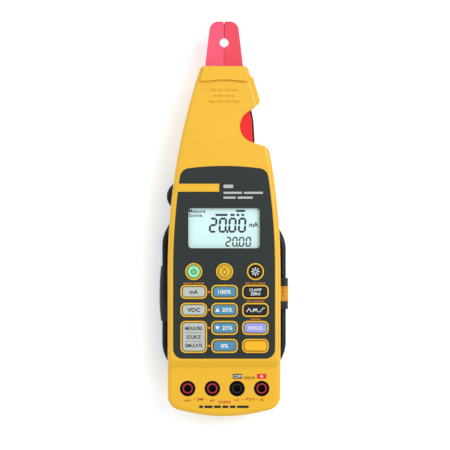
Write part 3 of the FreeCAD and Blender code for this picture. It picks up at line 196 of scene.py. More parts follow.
class Finish:
    """A material being made: its nodes, and the surface shader that they feed."""

    def __init__(self, name):
        self.material = bpy.data.materials.new(name)
        self.material.use_nodes = True
        self.tree = self.material.node_tree
        self.shader = self.tree.nodes["Principled BSDF"]
        self.place = self.node("ShaderNodeTexCoord").outputs["Object"]

    def node(self, kind, settings=None, inputs=None):
        """Adds a node, gives it its settings, then sets or links its sockets."""
        made = self.tree.nodes.new(kind)
        for key, value in (settings or {}).items():
            setattr(made, key, value)
        for key, value in (inputs or {}).items():
            self.put(made.inputs[key], value)
        return made

    def put(self, socket, value):
        """Links a socket, or sets it; colours have three levels and are opaque."""
        value = value.socket if isinstance(value, Value) else value
        if isinstance(value, bpy.types.NodeSocket):
            self.tree.links.new(value, socket)
        else:
            socket.default_value = (*value, 1) if socket.type == "RGBA" else value

    def surface(self, **inputs):
        """Sets or links the surface shader's sockets, named with underscores for spaces."""
        for key, value in inputs.items():
            self.put(self.shader.inputs[key.replace("_", " ")], value)
        return self.material

    def stretched(self, x, y, z):
        """The place on the piece, with each axis scaled."""
        settings = {"operation": "MULTIPLY"}
        return self.node("ShaderNodeVectorMath", settings, {0: self.place, 1: (x, y, z)}).outputs[0]

    def along(self, axis):
        """How far a point is along one axis of the frame, in metres."""
        return Value(self, self.node("ShaderNodeSeparateXYZ", None, {0: self.place}).outputs[axis])

    def noise(self, size, detail, vector=None):
        """Soft noise whose features are about that size, in metres."""
        inputs = {"Vector": vector or self.place, "Scale": 1 / size, "Detail": detail}
        return Value(self, self.node("ShaderNodeTexNoise", None, inputs).outputs[0])

    def threads(self, pitch, axis):
        """A rounded wave across one axis, one crest for each pitch; the node turns 20 radians in one unit."""
        settings = {"wave_type": "BANDS", "bands_direction": axis}
        inputs = {"Vector": self.place, "Scale": math.tau / 20 / pitch}
        return Value(self, self.node("ShaderNodeTexWave", settings, inputs).outputs["Fac"])

    def mixed(self, factor, first, second):
        """One colour turning into another as the factor goes from 0 to 1."""
        sockets = {0: factor, 6: first, 7: second}
        return self.node("ShaderNodeMix", {"data_type": "RGBA"}, sockets).outputs[2]

    def shaded(self, factor, shade, darkest, lightest):
        """One shade that varies between two brightnesses as the factor goes from 0 to 1."""
        return self.mixed(factor, scaled(shade, darkest), scaled(shade, lightest))

    def coated(self, tone, roughness, height, depth, **inputs):
        """The finished material: its colour, its roughness, and a relief of that depth in metres."""
        relief = self.node("ShaderNodeBump", None, {"Height": height, "Distance": depth}).outputs[0]
        return self.surface(Base_Color=tone, Roughness=roughness, Normal=relief, **inputs)


def scaled(shade, amount):
    """A colour that is brighter or darker by that factor."""
    return tuple(min(level * amount, 1.0) for level in shade)


def moulded(name, shade, roughness=0.42, grain=0.45 * MM, depth=0.02 * MM, seam=None):
    """Moulded plastic: a spark-eroded grain, slow changes of shade, rubbed patches and a parting line."""
    finish = Finish(name)
    patches = finish.noise(24 * MM, 3)
    rubbed = ((finish.noise(7 * MM, 4) - 0.52) * 4).clamped()
    height = fine = finish.noise(grain, 2)
    tone = finish.shaded(patches, shade, 0.93, 1.05)
    tone = finish.mixed(rubbed * 0.12, tone, scaled(shade, 1.18))
    if seam is not None:
        half_line = 0.12 * MM
        line = (1 - abs(finish.along("Z") - seam) / half_line).clamped()
        tone = finish.mixed(line * 0.75, tone, scaled(shade, 0.25))
        height = fine - line * 4
    rough = roughness + (patches - 0.5) * 0.1 - rubbed * 0.08 + (fine - 0.5) * 0.12
    return finish.coated(tone, rough, height, depth)


def silicone(name, shade):
    """Moulded silicone rubber: satin, with a fine skin and a faint bloom of dust."""
    finish = Finish(name)
    dust = ((finish.noise(2.2 * MM, 5) - 0.55) * 5).clamped()
    skin = finish.noise(0.22 * MM, 2)
    tone = finish.shaded(dust * 0.1, shade, 1, 1.5)
    rough = 0.42 + dust * 0.14 + (skin - 0.5) * 0.1
    return finish.coated(tone, rough, skin, 0.012 * MM, Specular_IOR_Level=0.35)


def rubber(name, shade):
    """Black rubber or cable jacket: smooth, with handling marks."""
    finish = Finish(name)
    marks = ((finish.noise(5 * MM, 4) - 0.5) * 4).clamped()
    skin = finish.noise(0.3 * MM, 3)
    tone = finish.shaded(marks * 0.35, shade, 1, 2)
    return finish.coated(tone, 0.34 + marks * 0.16, skin, 0.01 * MM, Specular_IOR_Level=0.3)


def film(name, shade):
    """Printed polyester film: a fine matt grain, a few hairline scuffs and slow changes of shade."""
    finish = Finish(name)
    slow = finish.noise(30 * MM, 2)
    grain = finish.noise(0.3 * MM, 2)
    scuffs = ((finish.noise(1.6 * MM, 3, finish.stretched(1, 0.12, 1)) - 0.66) * 6).clamped()
    tone = finish.shaded(slow, shade, 0.86, 1.2)
    tone = finish.mixed(scuffs * 0.1, tone, scaled(shade, 2.2))
    rough = 0.4 + (grain - 0.5) * 0.14 - scuffs * 0.08
    return finish.coated(tone, rough, grain, 0.008 * MM, Specular_IOR_Level=0.4)


def metal(name, shade, roughness):
    """Plated or turned metal with fine tool marks round it."""
    finish = Finish(name)
    marks = finish.noise(1.5 * MM, 3, finish.stretched(1, 1, 30))
    tarnish = finish.noise(3 * MM, 3)
    tone = finish.shaded(tarnish, shade, 0.8, 1.1)
    return finish.coated(tone, roughness + (marks - 0.5) * 0.2, marks, 0.004 * MM, Metallic=1.0)


def circuit(name, shade):
    """Solder mask over copper, whose tracks show as paler runs."""
    finish = Finish(name)
    across = finish.threads(2.6 * MM, "X")
    along = finish.threads(3.4 * MM, "Y")
    picked = finish.noise(8 * MM, 1) > 0.52
    tracks = (across > 0.82) * picked + (along > 0.85) * (1 - picked)
    tone = finish.shaded(tracks.clamped(), shade, 1, 1.9)
    return finish.coated(tone, 0.3 + tracks * 0.08, tracks, 0.03 * MM)


def woven(name, shade, pitch):
    """Plain weave: threads over and under each other, a little uneven in shade along the yarn, and painted
    darker in the hollows between the threads as painted shade.
    """
    finish = Finish(name)
    warp = finish.threads(pitch, "Y")
    weft = finish.threads(pitch, "DIAGONAL")
    fuzz = finish.noise(0.25 * MM, 4)
    slubs = finish.noise(3 * MM, 3, finish.stretched(1, 6, 1))
    height = warp * weft + fuzz * 0.25
    # The colour follows the threads' height: painted shade in the hollows between threads and a painted
    # highlight on their crests, with the yarn's own unevenness.
    tone = finish.shaded((height * 0.8 + slubs * 0.4).clamped(), shade, 0.4, 1.7)
    sheen = {"Sheen_Weight": 0.3, "Sheen_Roughness": 0.5}
    return finish.coated(tone, 0.8 - warp * 0.1, height, 0.16 * MM, **sheen)


def clear(name, shade, alpha):
    """Clear plastic with a trace of dust and fine scratches."""
    finish = Finish(name)
    dust = ((finish.noise(1.2 * MM, 5) - 0.62) * 5).clamped()
    scratches = ((finish.noise(0.9 * MM, 2, finish.stretched(1, 0.05, 1)) - 0.68) * 8).clamped()
    seen = alpha + dust * 0.03 + scratches * 0.02
    return finish.coated(shade, 0.06 + dust * 0.2, scratches, 0.004 * MM, Alpha=seen)


def liquid_crystal(name, shade):
    """The lit cell of the display: pale, with slow changes of shade and faint unlit dots."""
    finish = Finish(name)
    slow = finish.noise(26 * MM, 2)
    cells = finish.threads(0.5 * MM, "X") * finish.threads(0.5 * MM, "Y")
    tone = finish.shaded(slow, shade, 0.9, 1.06)
    tone = finish.mixed(cells * 0.06, tone, scaled(shade, 0.7))
    glow = {"Emission_Color": tone, "Emission_Strength": 0.05}
    return finish.surface(Base_Color=tone, Roughness=0.3 + cells * 0.05, **glow)


def ink(name, shade, roughness=0.5):
    """Screen ink: slightly uneven cover."""
    finish = Finish(name)
    cover = finish.noise(0.35 * MM, 3)
    tone = finish.shaded(cover, shade, 0.86, 1.08)
    rough = roughness + (cover - 0.5) * 0.1
    return finish.coated(tone, rough, cover, 0.006 * MM, Specular_IOR_Level=0.3)


# ---------------------------------------------------------------- places and meshes


def centre(node):
    low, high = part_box(node)
    return (low + high) / 2


def top(node):
    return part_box(node)[1].z


def paint(material, *nodes):
    """Gives CAD nodes their finish."""
    for node in nodes:
        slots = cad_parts[node].data.materials
        slots.clear()
        slots.append(material)


def placed(name, data):
    """An object of the given mesh, lamp, camera or text, linked to the scene."""
    made = bpy.data.objects.new(name, data)
    bpy.context.scene.collection.objects.link(made)
    return made


def meshed(name, build, material):
    """An object of a finished bmesh, with its finish."""
    mesh = bpy.data.meshes.new(name)
    build.to_mesh(mesh)
    build.free()
    mesh.materials.append(material)
    return placed(name, mesh)


def piece(name, build, material, body):
    """An object of a finished bmesh that rides on a body."""
    made = meshed(name, build, material)
    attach(made, body)
    return made


def plates(name, outlines, base, thick, material, body):
    """Flat plates on one height, whose outlines are counter-clockwise lists of (x, y)."""
    build = bmesh.new()
    for points in outlines:
        lower = [build.verts.new((x, y, base)) for x, y in points]
        upper = [build.verts.new((x, y, base + thick)) for x, y in points]
        build.faces.new(reversed(lower))
        build.faces.new(upper)
        for i in range(len(points)):
            j = (i + 1) % len(points)
            build.faces.new((lower[i], lower[j], upper[j], upper[i]))
    return piece(name, build, material, body)


def about(middle, outlines):
    """Outlines drawn in millimetres around a point, as outlines in metres."""
    return [[(middle.x + x * MM, middle.y + y * MM) for x, y in points] for points in outlines]


def rounded(x, y, width, height, radius=0.0):
    """The outline of a rectangle centred on x, y, with rounded corners if a radius is given."""
    corners = ((1, -1), (1, 1), (-1, 1), (-1, -1))
    if not radius:
        return [(x + sx * width / 2, y + sy * height / 2) for sx, sy in corners]
    steps = 5
    points = []
    for quarter, (sx, sy) in enumerate(corners):
        cx, cy = x + sx * (width / 2 - radius), y + sy * (height / 2 - radius)
        turns = [math.radians(90 * (quarter - 1 + i / steps)) for i in range(steps + 1)]
        points += arc(cx, cy, radius, turns)
    return points


def arc(x, y, radius, turns):
    return [(x + radius * math.cos(turn), y + radius * math.sin(turn)) for turn in turns]


def disc(x, y, radius, steps=24):
    return arc(x, y, radius, [math.tau * i / steps for i in range(steps)])


def arc_band(x, y, radius, width, start, sweep, steps):
    """A band of that width along an arc, whose start and sweep are in degrees."""
    turns = [math.radians(start + sweep * i / steps) for i in range(steps + 1)]
    return arc(x, y, radius + width / 2, turns) + arc(x, y, radius - width / 2, turns[::-1])


def ring(x, y, radius, width, steps=48):
    """A band all the way round, with the thinnest cut in it, so that it is one outline."""
    return arc_band(x, y, radius, width, 0, 359.9, steps)


def cylinder(build, sides, radius, depth, matrix):
    sizes_of_ends = {"radius1": radius, "radius2": radius, "depth": depth}
    bmesh.ops.create_cone(build, cap_ends=True, segments=sides, **sizes_of_ends, matrix=matrix)


def row_of_bars(left, y, tall, widths, gap, radius=0.3):
    """Rounded bars in a row from the left, in millimetres."""
    bars = []
    for width in widths:
        bars.append(rounded(left + width / 2, y, width, tall, radius))
        left += width + gap
    return bars


def stroke(start, end, width):
    """A straight band from one point to another, with half its width added at each end."""
    first, last = Vector(start), Vector(end)
    along = (last - first).normalized()
    side = Vector((-along.y, along.x)) * width / 2
    first, last = first - along * width / 2, last + along * width / 2
    return [tuple(p) for p in (first - side, last - side, last + side, first + side)]


def polyline(points, width):
    """Straight bands that join up a row of points."""
    return [stroke(a, b, width) for a, b in zip(points, points[1:])]


def lettering(name, words, x, y, height, base, thick, material, body, slot, weight, width=None):
    """Words centred on x, y whose faces stand on a base; a width squeezes or stretches them."""
    curve = bpy.data.curves.new(name, "FONT")
    curve.body = words
    curve.align_x, curve.align_y = "CENTER", "CENTER"
    curve.offset = weight
    curve.resolution_u = 3
    text = placed(f"{name}_curve", curve)
    bpy.context.view_layer.update()
    mesh = bpy.data.meshes.new_from_object(text.evaluated_get(bpy.context.evaluated_depsgraph_get()))
    bpy.data.objects.remove(text)
    bpy.data.curves.remove(curve)
    build = bmesh.new()
    build.from_mesh(mesh)
    bpy.data.meshes.remove(mesh)
    bmesh.ops.remove_doubles(build, verts=build.verts, dist=1e-5)
    low = Vector(min(v.co[i] for v in build.verts) for i in range(3))
    high = Vector(max(v.co[i] for v in build.verts) for i in range(3))
    size_y = height / (high.y - low.y)
    size_x = width / (high.x - low.x) if width else size_y
    middle = (low + high) / 2
    for vert in build.verts:
        vert.co = Vector(((vert.co.x - middle.x) * size_x + x, (vert.co.y - middle.y) * size_y + y, base))
    bmesh.ops.recalc_face_normals(build, faces=build.faces)
    if sum(face.normal.z for face in build.faces) > 0:
        bmesh.ops.reverse_faces(build, faces=build.faces)
    raised = bmesh.ops.extrude_face_region(build, geom=list(build.faces))
    for item in raised["geom"]:
        if isinstance(item, bmesh.types.BMVert):
            item.co.z += thick
    bmesh.ops.recalc_face_normals(build, faces=build.faces)
    return piece(name, build, material, body)


# ---------------------------------------------------------------- operators


def colours():
    return bpy.context.scene.meter_colours


def sizes():
    return bpy.context.scene.meter_sizes


class Step:
    """What every step's operator does: its own work, and then the usual answer."""

    def execute(self, context):
        self.work()
        return {"FINISHED"}


class METER_OT_case(Step, bpy.types.Operator):
    """Finish the two shells"""

    bl_idname = "meter.case"
    bl_label = "Case"

    # Rows of raised marks on the nose: the distance from the mouth and the width of a row, in millimetres.
    ROWS = ((15, 18), (18.6, 14), (22.2, 20))
    MARKS = 4

    def work(self):
        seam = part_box("front_case")[0].z
        shell = moulded("case_plastic", colours().case, 0.36, sizes().grain, 0.018 * MM, seam)
        paint(shell, "front_case", "back_case")
        paint(clear("lamp_lens", srgb(235, 240, 245), 0.75), "spot_lamp")
        # The caps on the raised marks are painted shade: a darker orange for the shading of their moulded
        # relief.
        self.mark_shade_caps(ink("mark_painted_shade", colours().mark))

    def mark_shade_caps(self, material):
        """A thin darker cap on each raised mark of the nose, square to the sloping face: painted shade,
        standing in for the shading of the moulded relief.
        """
        shell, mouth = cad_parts["front_case"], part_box("front_case")[1].y
        build = bmesh.new()
        for drop, width in self.ROWS:
            pitch, gap = width / self.MARKS, 1.5
            for i in range(self.MARKS):
                above = Vector(((i - (self.MARKS - 1) / 2) * pitch * MM, mouth - drop * MM, 1))
                _, spot, normal, _ = shell.ray_cast(above, Vector((0, 0, -1)))
                lean = Matrix.Translation(spot) @ normal.to_track_quat("Z", "Y").to_matrix().to_4x4()
                size = Matrix.Diagonal(((pitch - gap) * MM, 1.0 * MM, 2 * sizes().ink, 1))
                bmesh.ops.create_cube(build, size=1.0, matrix=lean @ size)
        piece("mark_shade_caps", build, material, "case")


class METER_OT_label(Step, bpy.types.Operator):
    """Finish the face label and print on it"""

    bl_idname = "meter.label"
    bl_label = "Face label"

    # In millimetres: the height above the window, the height of the bars, and their widths.
    TITLE = ((11.6, 2.1, (6.0,)), (7.6, 1.25, (11.5, 11.8)), (4.6, 1.25, (7.6, 9.4)))
    CAPTIONS = {
        "key_milliamp": (5.2, 7.2),
        "key_clamp_zero": (3.4, 2.4, 5.4),
        "key_pulse": (3.4, 7.0),
        "key_hold": (6.4,),
    }

    def work(self):
        paint(film("label_film", colours().label), "face_label")
        base = top("face_label") - PRINT_OVERLAP
        self.title(base)
        self.dots(base)
        self.captions(base)

    def title(self, base):
        """Plain bars where the meter's name would be."""
        low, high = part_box("display_window")
        corner = Vector(((low.x + high.x) / 2 - 0.4 * MM, high.y))
        pale = ink("label_ink_light", scaled(colours().ink_light, 0.55))
        bars = []
        for rise, tall, widths in self.TITLE:
            bars += about(corner, row_of_bars(0, rise, tall, widths, 1.2))
        plates("title_bars", bars, base, sizes().ink, pale, "case")

    def dots(self, base):
        """An orange dot on a short line between each step key and the key beside it."""
        x = (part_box("key_milliamp")[1].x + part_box("key_full_scale")[0].x) / 2 - 0.1 * MM
        rows = [centre(node).y for node in STEP_KEYS]
        dots = [disc(x, y, 0.75 * MM) for y in rows]
        ticks = [rounded(x, y, 3.4 * MM, 0.3 * MM) for y in rows]
        orange = ink("label_ink_orange", colours().ink_orange)
        plates("row_dots", dots, base, sizes().ink * 1.5, orange, "case")
        plates("row_ticks", ticks, base, sizes().ink, orange, "case")

    def captions(self, base):
        """Small dull marks above some of the keys, in place of their second functions."""
        shade = ink("label_ink_dull", scaled(colours().ink_orange, 0.55))
        marks = []
        gap = 0.7
        for node, widths in self.CAPTIONS.items():
            above = Vector((centre(node).x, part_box(node)[1].y + 1.35 * MM))
            left = -(sum(widths) + gap * (len(widths) - 1)) / 2
            marks += about(above, row_of_bars(left, 0, 0.85, widths, gap, 0.2))
        plates("key_captions", marks, base, sizes().ink, shade, "case")


SEGMENTS = {"0": "abcdef", "2": "abged"}


def digit(shape, x, y, width, height, thick):
    """The lit segments of one seven-segment digit whose lower left corner is x, y."""
    gap, half, slant = thick * 0.06, height / 2, 0.06
    ends = {
        "a": ((0, height), (width, height)),
        "b": ((width, height), (width, half)),
        "c": ((width, half), (width, 0)),
        "d": ((0, 0), (width, 0)),
        "e": ((0, half), (0, 0)),
        "f": ((0, height), (0, half)),
        "g": ((0, half), (width, half)),
    }
    made = []
    for key in SEGMENTS[shape]:
        first, last = (Vector(p) for p in ends[key])
        along = (last - first).normalized()
        side = Vector((-along.y, along.x)) * thick / 2
        near, far = first + along * gap, last - along * gap
        inner, outer = near + along * thick / 2, far - along * thick / 2
        ring = [near, inner - side, outer - side, far, outer + side, inner + side]
        made.append([(x + p.x + slant * p.y, y + p.y) for p in ring])
    return made


class METER_OT_display(Step, bpy.types.Operator):
    """Finish the window and light up the display behind it"""

    bl_idname = "meter.display"
    bl_label = "Display"

    # Places are from the middle of the glass; all of it is in millimetres.
    INK = 0.04
    READINGS = {  # x, y, pitch, width, height, stroke
        "large_digits": (-8.9, -2.2, 6.0, 3.7, 8.1, 1.3),
        "small_digits": (1.2, -11.1, 4.15, 2.45, 5.3, 0.88),
    }
    WORDS = {  # words, x, y, height, weight
        "display_unit": ("mA", 18.4, 2.2, 2.9, 0.03),
        "display_mode_0": ("Measure", -16.8, 10.6, 2.2, 0.016),
        "display_mode_1": ("Source", -17.8, 8.0, 2.2, 0.016),
    }
    MARKS = (  # x, y, width
        (10.2, 10.7, 5.6), (-1.6, 8.2, 7.4), (5.2, 8.2, 2.6), (8.6, 8.2, 1.8), (11.6, 8.2, 1.8)
    )

    def work(self):
        paint(clear("window_plastic", srgb(190, 200, 200), 0.03), "display_window")
        paint(liquid_crystal("display_cell", colours().display), "display_glass")
        paint(moulded("holder_plastic", srgb(214, 214, 206), 0.5), "display_holder")
        paint(silicone("diffuser_plastic", srgb(226, 236, 236)), "display_light")
        paint(silicone("strip_rubber", srgb(150, 120, 118)), "contact_strips")
        middle, base = centre("display_glass"), top("display_glass")
        dark = ink("segment_ink", colours().segment, 0.35)

        def shown(name, outlines):
            outlines = about(middle, outlines)
            plates(name, outlines, base, self.INK * MM, dark, "case")

        for name, reading in self.READINGS.items():
            shown(name, self.reading("2000", *reading))
        for name, (words, x, y, height, weight) in self.WORDS.items():
            place = (middle.x + x * MM, middle.y + y * MM, height * MM, base, self.INK * MM)
            lettering(name, words, *place, dark, "case", "display_glass", weight)
        shown("display_marks", [rounded(x, y, width, 1.3, 0.25) for x, y, width in self.MARKS])

    def reading(self, digits, x, y, pitch, width, height, thick):
        """Digits with a point after the second."""
        made = []
        for i, shape in enumerate(digits):
            made += digit(shape, x + i * pitch, y, width, height, thick)
        point = x + pitch + width + (pitch - width) / 2
        return [*made, rounded(point, y, thick, thick * 1.3, thick * 0.3)]


class METER_OT_keys(Step, bpy.types.Operator):
    """Finish the keys and print their legends"""

    bl_idname = "meter.keys"
    bl_label = "Keys"

    # The part's name, words, ink, height, place across and up, weight and width; sizes are in millimetres.
    WORDS = (
        ("key_milliamp", "word", "mA", "dark", 2.5, 0, 0, 0.024, 5.0),
        ("key_volt", "word", "VDC", "dark", 2.5, 0, 0, 0.024, 8.0),
        ("key_full_scale", "word", "100%", "light", 2.6, 0, 0, 0.024, 8.0),
        ("key_zero_scale", "word", "0%", "light", 2.6, 0, 0, 0.024, 4.6),
        ("key_step_up", "word", "25%", "light", 2.5, 1.6, 0, 0.024, 6.2),
        ("key_step_down", "word", "25%", "light", 2.5, 1.6, 0, 0.024, 6.2),
        ("key_hold", "word", "HOLD", "light", 2.4, 0, 0, 0.024, 8.6),
        ("key_clamp_zero", "upper", "CLAMP", "light", 1.8, 0, 1.25, 0.024, 7.6),
        ("key_clamp_zero", "lower", "ZERO", "light", 1.8, 0, -1.25, 0.024, 6.2),
        ("key_mode", "line_0", "MEASURE", "dark", 2.3, 0, 5.3, 0.02, 10.6),
        ("key_mode", "line_1", "SOURCE", "dark", 2.3, 0, 0, 0.02, 9.0),
        ("key_mode", "line_2", "SIMULATE", "dark", 2.3, 0, -5.3, 0.02, 10.8),
    )

    def work(self):
        shades = colours()
        caps = {
            "power": (shades.power_key, ("key_power",)),
            "lamp": (shades.lamp_key, ("key_spotlight",)),
            "shift": (shades.shift_key, ("key_shift",)),
            "black": (shades.black_key, ("key_backlight", "key_clamp_zero", "key_pulse")),
            "grey": (shades.grey_key, ("key_milliamp", "key_volt", "key_mode")),
            "blue": (shades.blue_key, STEP_KEYS),
            "hold": (shades.hold_key, ("key_hold",)),
        }
        for name, (shade, nodes) in caps.items():
            paint(silicone(f"{name}_silicone", shade), *nodes)
        paint(silicone("mat_silicone", srgb(150, 152, 150)), "keypad_mat")
        self.inks = {
            "light": ink("key_ink_light", shades.ink_light),
            "dark": ink("key_ink_dark", shades.ink_dark),
            "green": ink("key_ink_green", srgb(186, 240, 200)),
        }
        for row in self.WORDS:
            self.word(*row)
            self.arrow(row[0])
        self.rules()
        self.power_sign()
        self.lamp_sign()
        self.sun_sign()
        self.pulse_sign()

    def base(self, node):
        return top(node) - 0.01 * MM

    def word(self, node, part, words, shade, height, across, up, weight, width):
        middle = centre(node)
        place = (middle.x + across * MM, middle.y + up * MM, height * MM, self.base(node), sizes().raised)
        lettering(f"{node}_{part}", words, *place, self.inks[shade], node, node, weight, width * MM)

    def sign(self, node, part, outlines, shade):
        """Outlines in millimetres around the middle of a key, printed on its cap."""
        outlines = about(centre(node), outlines)
        plates(f"{node}_{part}", outlines, self.base(node), sizes().raised, self.inks[shade], node)

    def arrow(self, node):
        """The arrow beside the word, on the two keys that step up and down."""
        up = {"key_step_up": 1, "key_step_down": -1}.get(node)
        if up:
            x, half = -4.4, 1.35
            foot = -up * half * 0.8
            self.sign(node, "arrow", [[(x - half, foot), (x + half, foot), (x, up * half)][::up]], "light")

    def rules(self):
        """Two thin lines between the three words of the tall key."""
        self.sign("key_mode", "rules", [rounded(0, y, 10.4, 0.22) for y in (-2.65, 2.65)], "dark")

    def power_sign(self):
        """A broken circle with a bar in its gap, inside a pale ring."""
        broken = arc_band(0, 0, 1.4, 0.42, 125, 290, 28)
        self.sign("key_power", "sign", [broken, stroke((0, 0.3), (0, 1.6), 0.42)], "dark")
        self.sign("key_power", "ring", [ring(0, 0, 2.6, 0.34)], "green")

    def lamp_sign(self):
        """A lamp with three rays, inside a thin rim."""
        bulb = arc_band(0, -0.3, 1.4, 0.5, -50, 280, 28)
        foot = polyline([(-0.9, -1.35), (0, -2.2), (0.9, -1.35)], 0.46)
        rays = [rounded(x, 1.95, 0.42, 0.9, 0.1) for x in (-1.15, 0, 1.15)]
        self.sign("key_spotlight", "sign", [bulb, *foot, *rays, ring(0, 0, 3.15, 0.26)], "dark")

    def sun_sign(self):
        """A small ring with eight rays."""
        petals = [ring(0, 0, 0.95, 0.36, 36)]
        for i in range(8):
            reach = Vector((math.cos(math.tau * i / 8), math.sin(math.tau * i / 8)))
            petals.append(stroke(reach * 1.75, reach * 2.3, 0.6))
        self.sign("key_backlight", "sun", petals, "light")

    def pulse_sign(self):
        """Three small traces: a slow ramp, a fast ramp and a staircase."""
        traces = (
            (-3.9, ((-1.5, -1.1), (0, 1.1), (1.3, -1.1))),
            (-0.2, ((-1.4, -1.1), (-0.7, 1.1), (0, -0.9), (0.7, 1.1), (1.4, -1.1))),
            (3.8, ((-1.6, -1.2), (-0.5, -1.2), (-0.5, 0), (0.6, 0), (0.6, 1.2), (1.7, 1.2))),
        )
        lines = []
        for shift, points in traces:
            lines += polyline([(shift + x, y) for x, y in points], 0.42)
        self.sign("key_pulse", "traces", lines, "light")


class METER_OT_jacks(Step, bpy.types.Operator):
    """Finish the input jacks and print beside them"""

    bl_idname = "meter.jacks"
    bl_label = "Input jacks"

    # Which jacks a word stands between, its words, ink, place across and up from their middle, height and
    # width; in millimetres.
    WORDS = {
        "common_word": (2, 2, "COM", "light", 0.3, 7.6, 1.9, 4.9),
        "volt_word": (2, 3, "VOLTS", "dark", 0.2, 6.6, 1.6, 6.0),
        "volt_word_red": (2, 3, "VOLTS", "red", 0.4, -6.6, 1.6, 6.0),
        "low_word": (2, 2, "LO", "red", 0, -7.0, 1.6, 2.6),
        "high_word": (3, 3, "HI", "red", 0, -7.0, 1.6, 2.0),
        "source_word": (1, 2, "SOURCE", "red", 0, -8.4, 1.7, 7.4),
        "loop_word": (0, 0, "mA+", "red", 0, -7.3, 1.5, 4.0),
        "milliamp_word": (1, 1, "mA", "red", 0, -7.3, 1.5, 3.0),
        "loop_mode_word": (0, 1, "SIM", "red", 0, -6.6, 1.6, 3.8),
    }
    TICKS = (  # the two jacks, and the place from their middle
        (2, 2, 4.1, 6.6), (3, 3, -3.9, 6.6), (2, 2, 3.6, -6.7), (3, 3, -3.0, -6.7), (0, 1, -3.4, -6.7),
        (0, 1, 3.4, -6.7),
    )
    FOOT_BARS = (2.2, 5.0, 4.2, 3.6, 3.4, 7.2)

    def work(self):
        for node in JACKS:
            common = node == "jack_common"
            shade = scaled(colours().jack_black, 1.5) if common else colours().jack_red
            paint(self.shroud(node, shade), node)
        paint(metal("sleeve_plating", srgb(46, 42, 38), 0.35), "jack_sleeves")
        paint(circuit("jack_board_mask", colours().board), "jack_board")
        self.print_marks()

    def shroud(self, node, shade):
        """The jack's plastic: the middle tube in the jack's own colour, and black outside it, which is
        painted shade in the deep groove round the tube.
        """
        finish = Finish(f"{node}_plastic")
        spot, tube_radius = centre(node), 3.6 * MM
        ends = {0: finish.stretched(1, 1, 0), 1: (spot.x, spot.y, 0)}
        distance = finish.node("ShaderNodeVectorMath", {"operation": "DISTANCE"}, ends).outputs[1]
        # Outside the middle tube the colour is black: painted shade in the deep groove.
        tube = 1 - (Value(finish, distance) > tube_radius)
        fine = finish.noise(0.3 * MM, 2)
        patches = finish.noise(2 * MM, 3)
        tone = finish.mixed(tube, colours().jack_black, shade)
        tone = finish.mixed(patches * 0.2, tone, scaled(colours().jack_black, 0.5))
        return finish.coated(tone, 0.34 + (fine - 0.5) * 0.1, fine, 0.006 * MM)

    def print_marks(self):
        """Words, plates and small marks around the jacks, on the step that the jacks open through."""
        sunk = 0.3 * MM  # how far under that face the shrouds end
        base, thick = top("jack_common") + sunk - PRINT_OVERLAP, sizes().ink
        on_plate = base + thick * 0.9
        shades = colours()
        inks = {
            "light": ink("jack_ink_light", shades.ink_light),
            "dark": ink("jack_ink_dark", shades.ink_dark),
            "red": ink("jack_ink_red", shades.ink_red),
            "black plate": ink("jack_plate_black", srgb(22, 22, 24)),
            "red plate": ink("jack_plate_red", srgb(222, 40, 36)),
        }
        places = [centre(node) for node in JACKS]
        y = places[0].y

        def between(first, last):
            return Vector(((places[first].x + places[last].x) / 2, y))

        def printed(name, outlines, shade, height=base):
            plates(name, outlines, height, thick, inks[shade], "case")

        com, volt, rise = between(2, 2), between(3, 3), 7.6
        printed("common_plate", about(com, [rounded(0.3, rise, 5.8, 2.9, 0.3)]), "black plate")
        printed("volt_plate", about(volt, [rounded(0, rise, 5.8, 3.1, 0.3)]), "red plate")
        for name, (first, last, words, shade, across, up, height, width) in self.WORDS.items():
            place = between(first, last) + Vector((across, up)) * MM
            level = on_plate if shade == "light" else base
            spot = (*place, height * MM, level, thick)
            lettering(name, words, *spot, inks[shade], "case", "front_case", 0.02, width * MM)
            if name == "common_word":
                cross = [rounded(0, rise, 1.8, 0.5), rounded(0, rise, 0.5, 1.8)]
                printed("volt_sign", about(volt, cross), "light", on_plate)
        ticks = []
        for first, last, across, up in self.TICKS:
            ticks += about(between(first, last), [rounded(across, up, 1.3, 0.25)])
        printed("jack_ticks", ticks, "red")
        bars = row_of_bars(-sum(self.FOOT_BARS) / 2 - 2.6, -11.3, 1.5, self.FOOT_BARS, 1.0)
        printed("foot_bars", about(Vector((0, y)), bars), "dark")


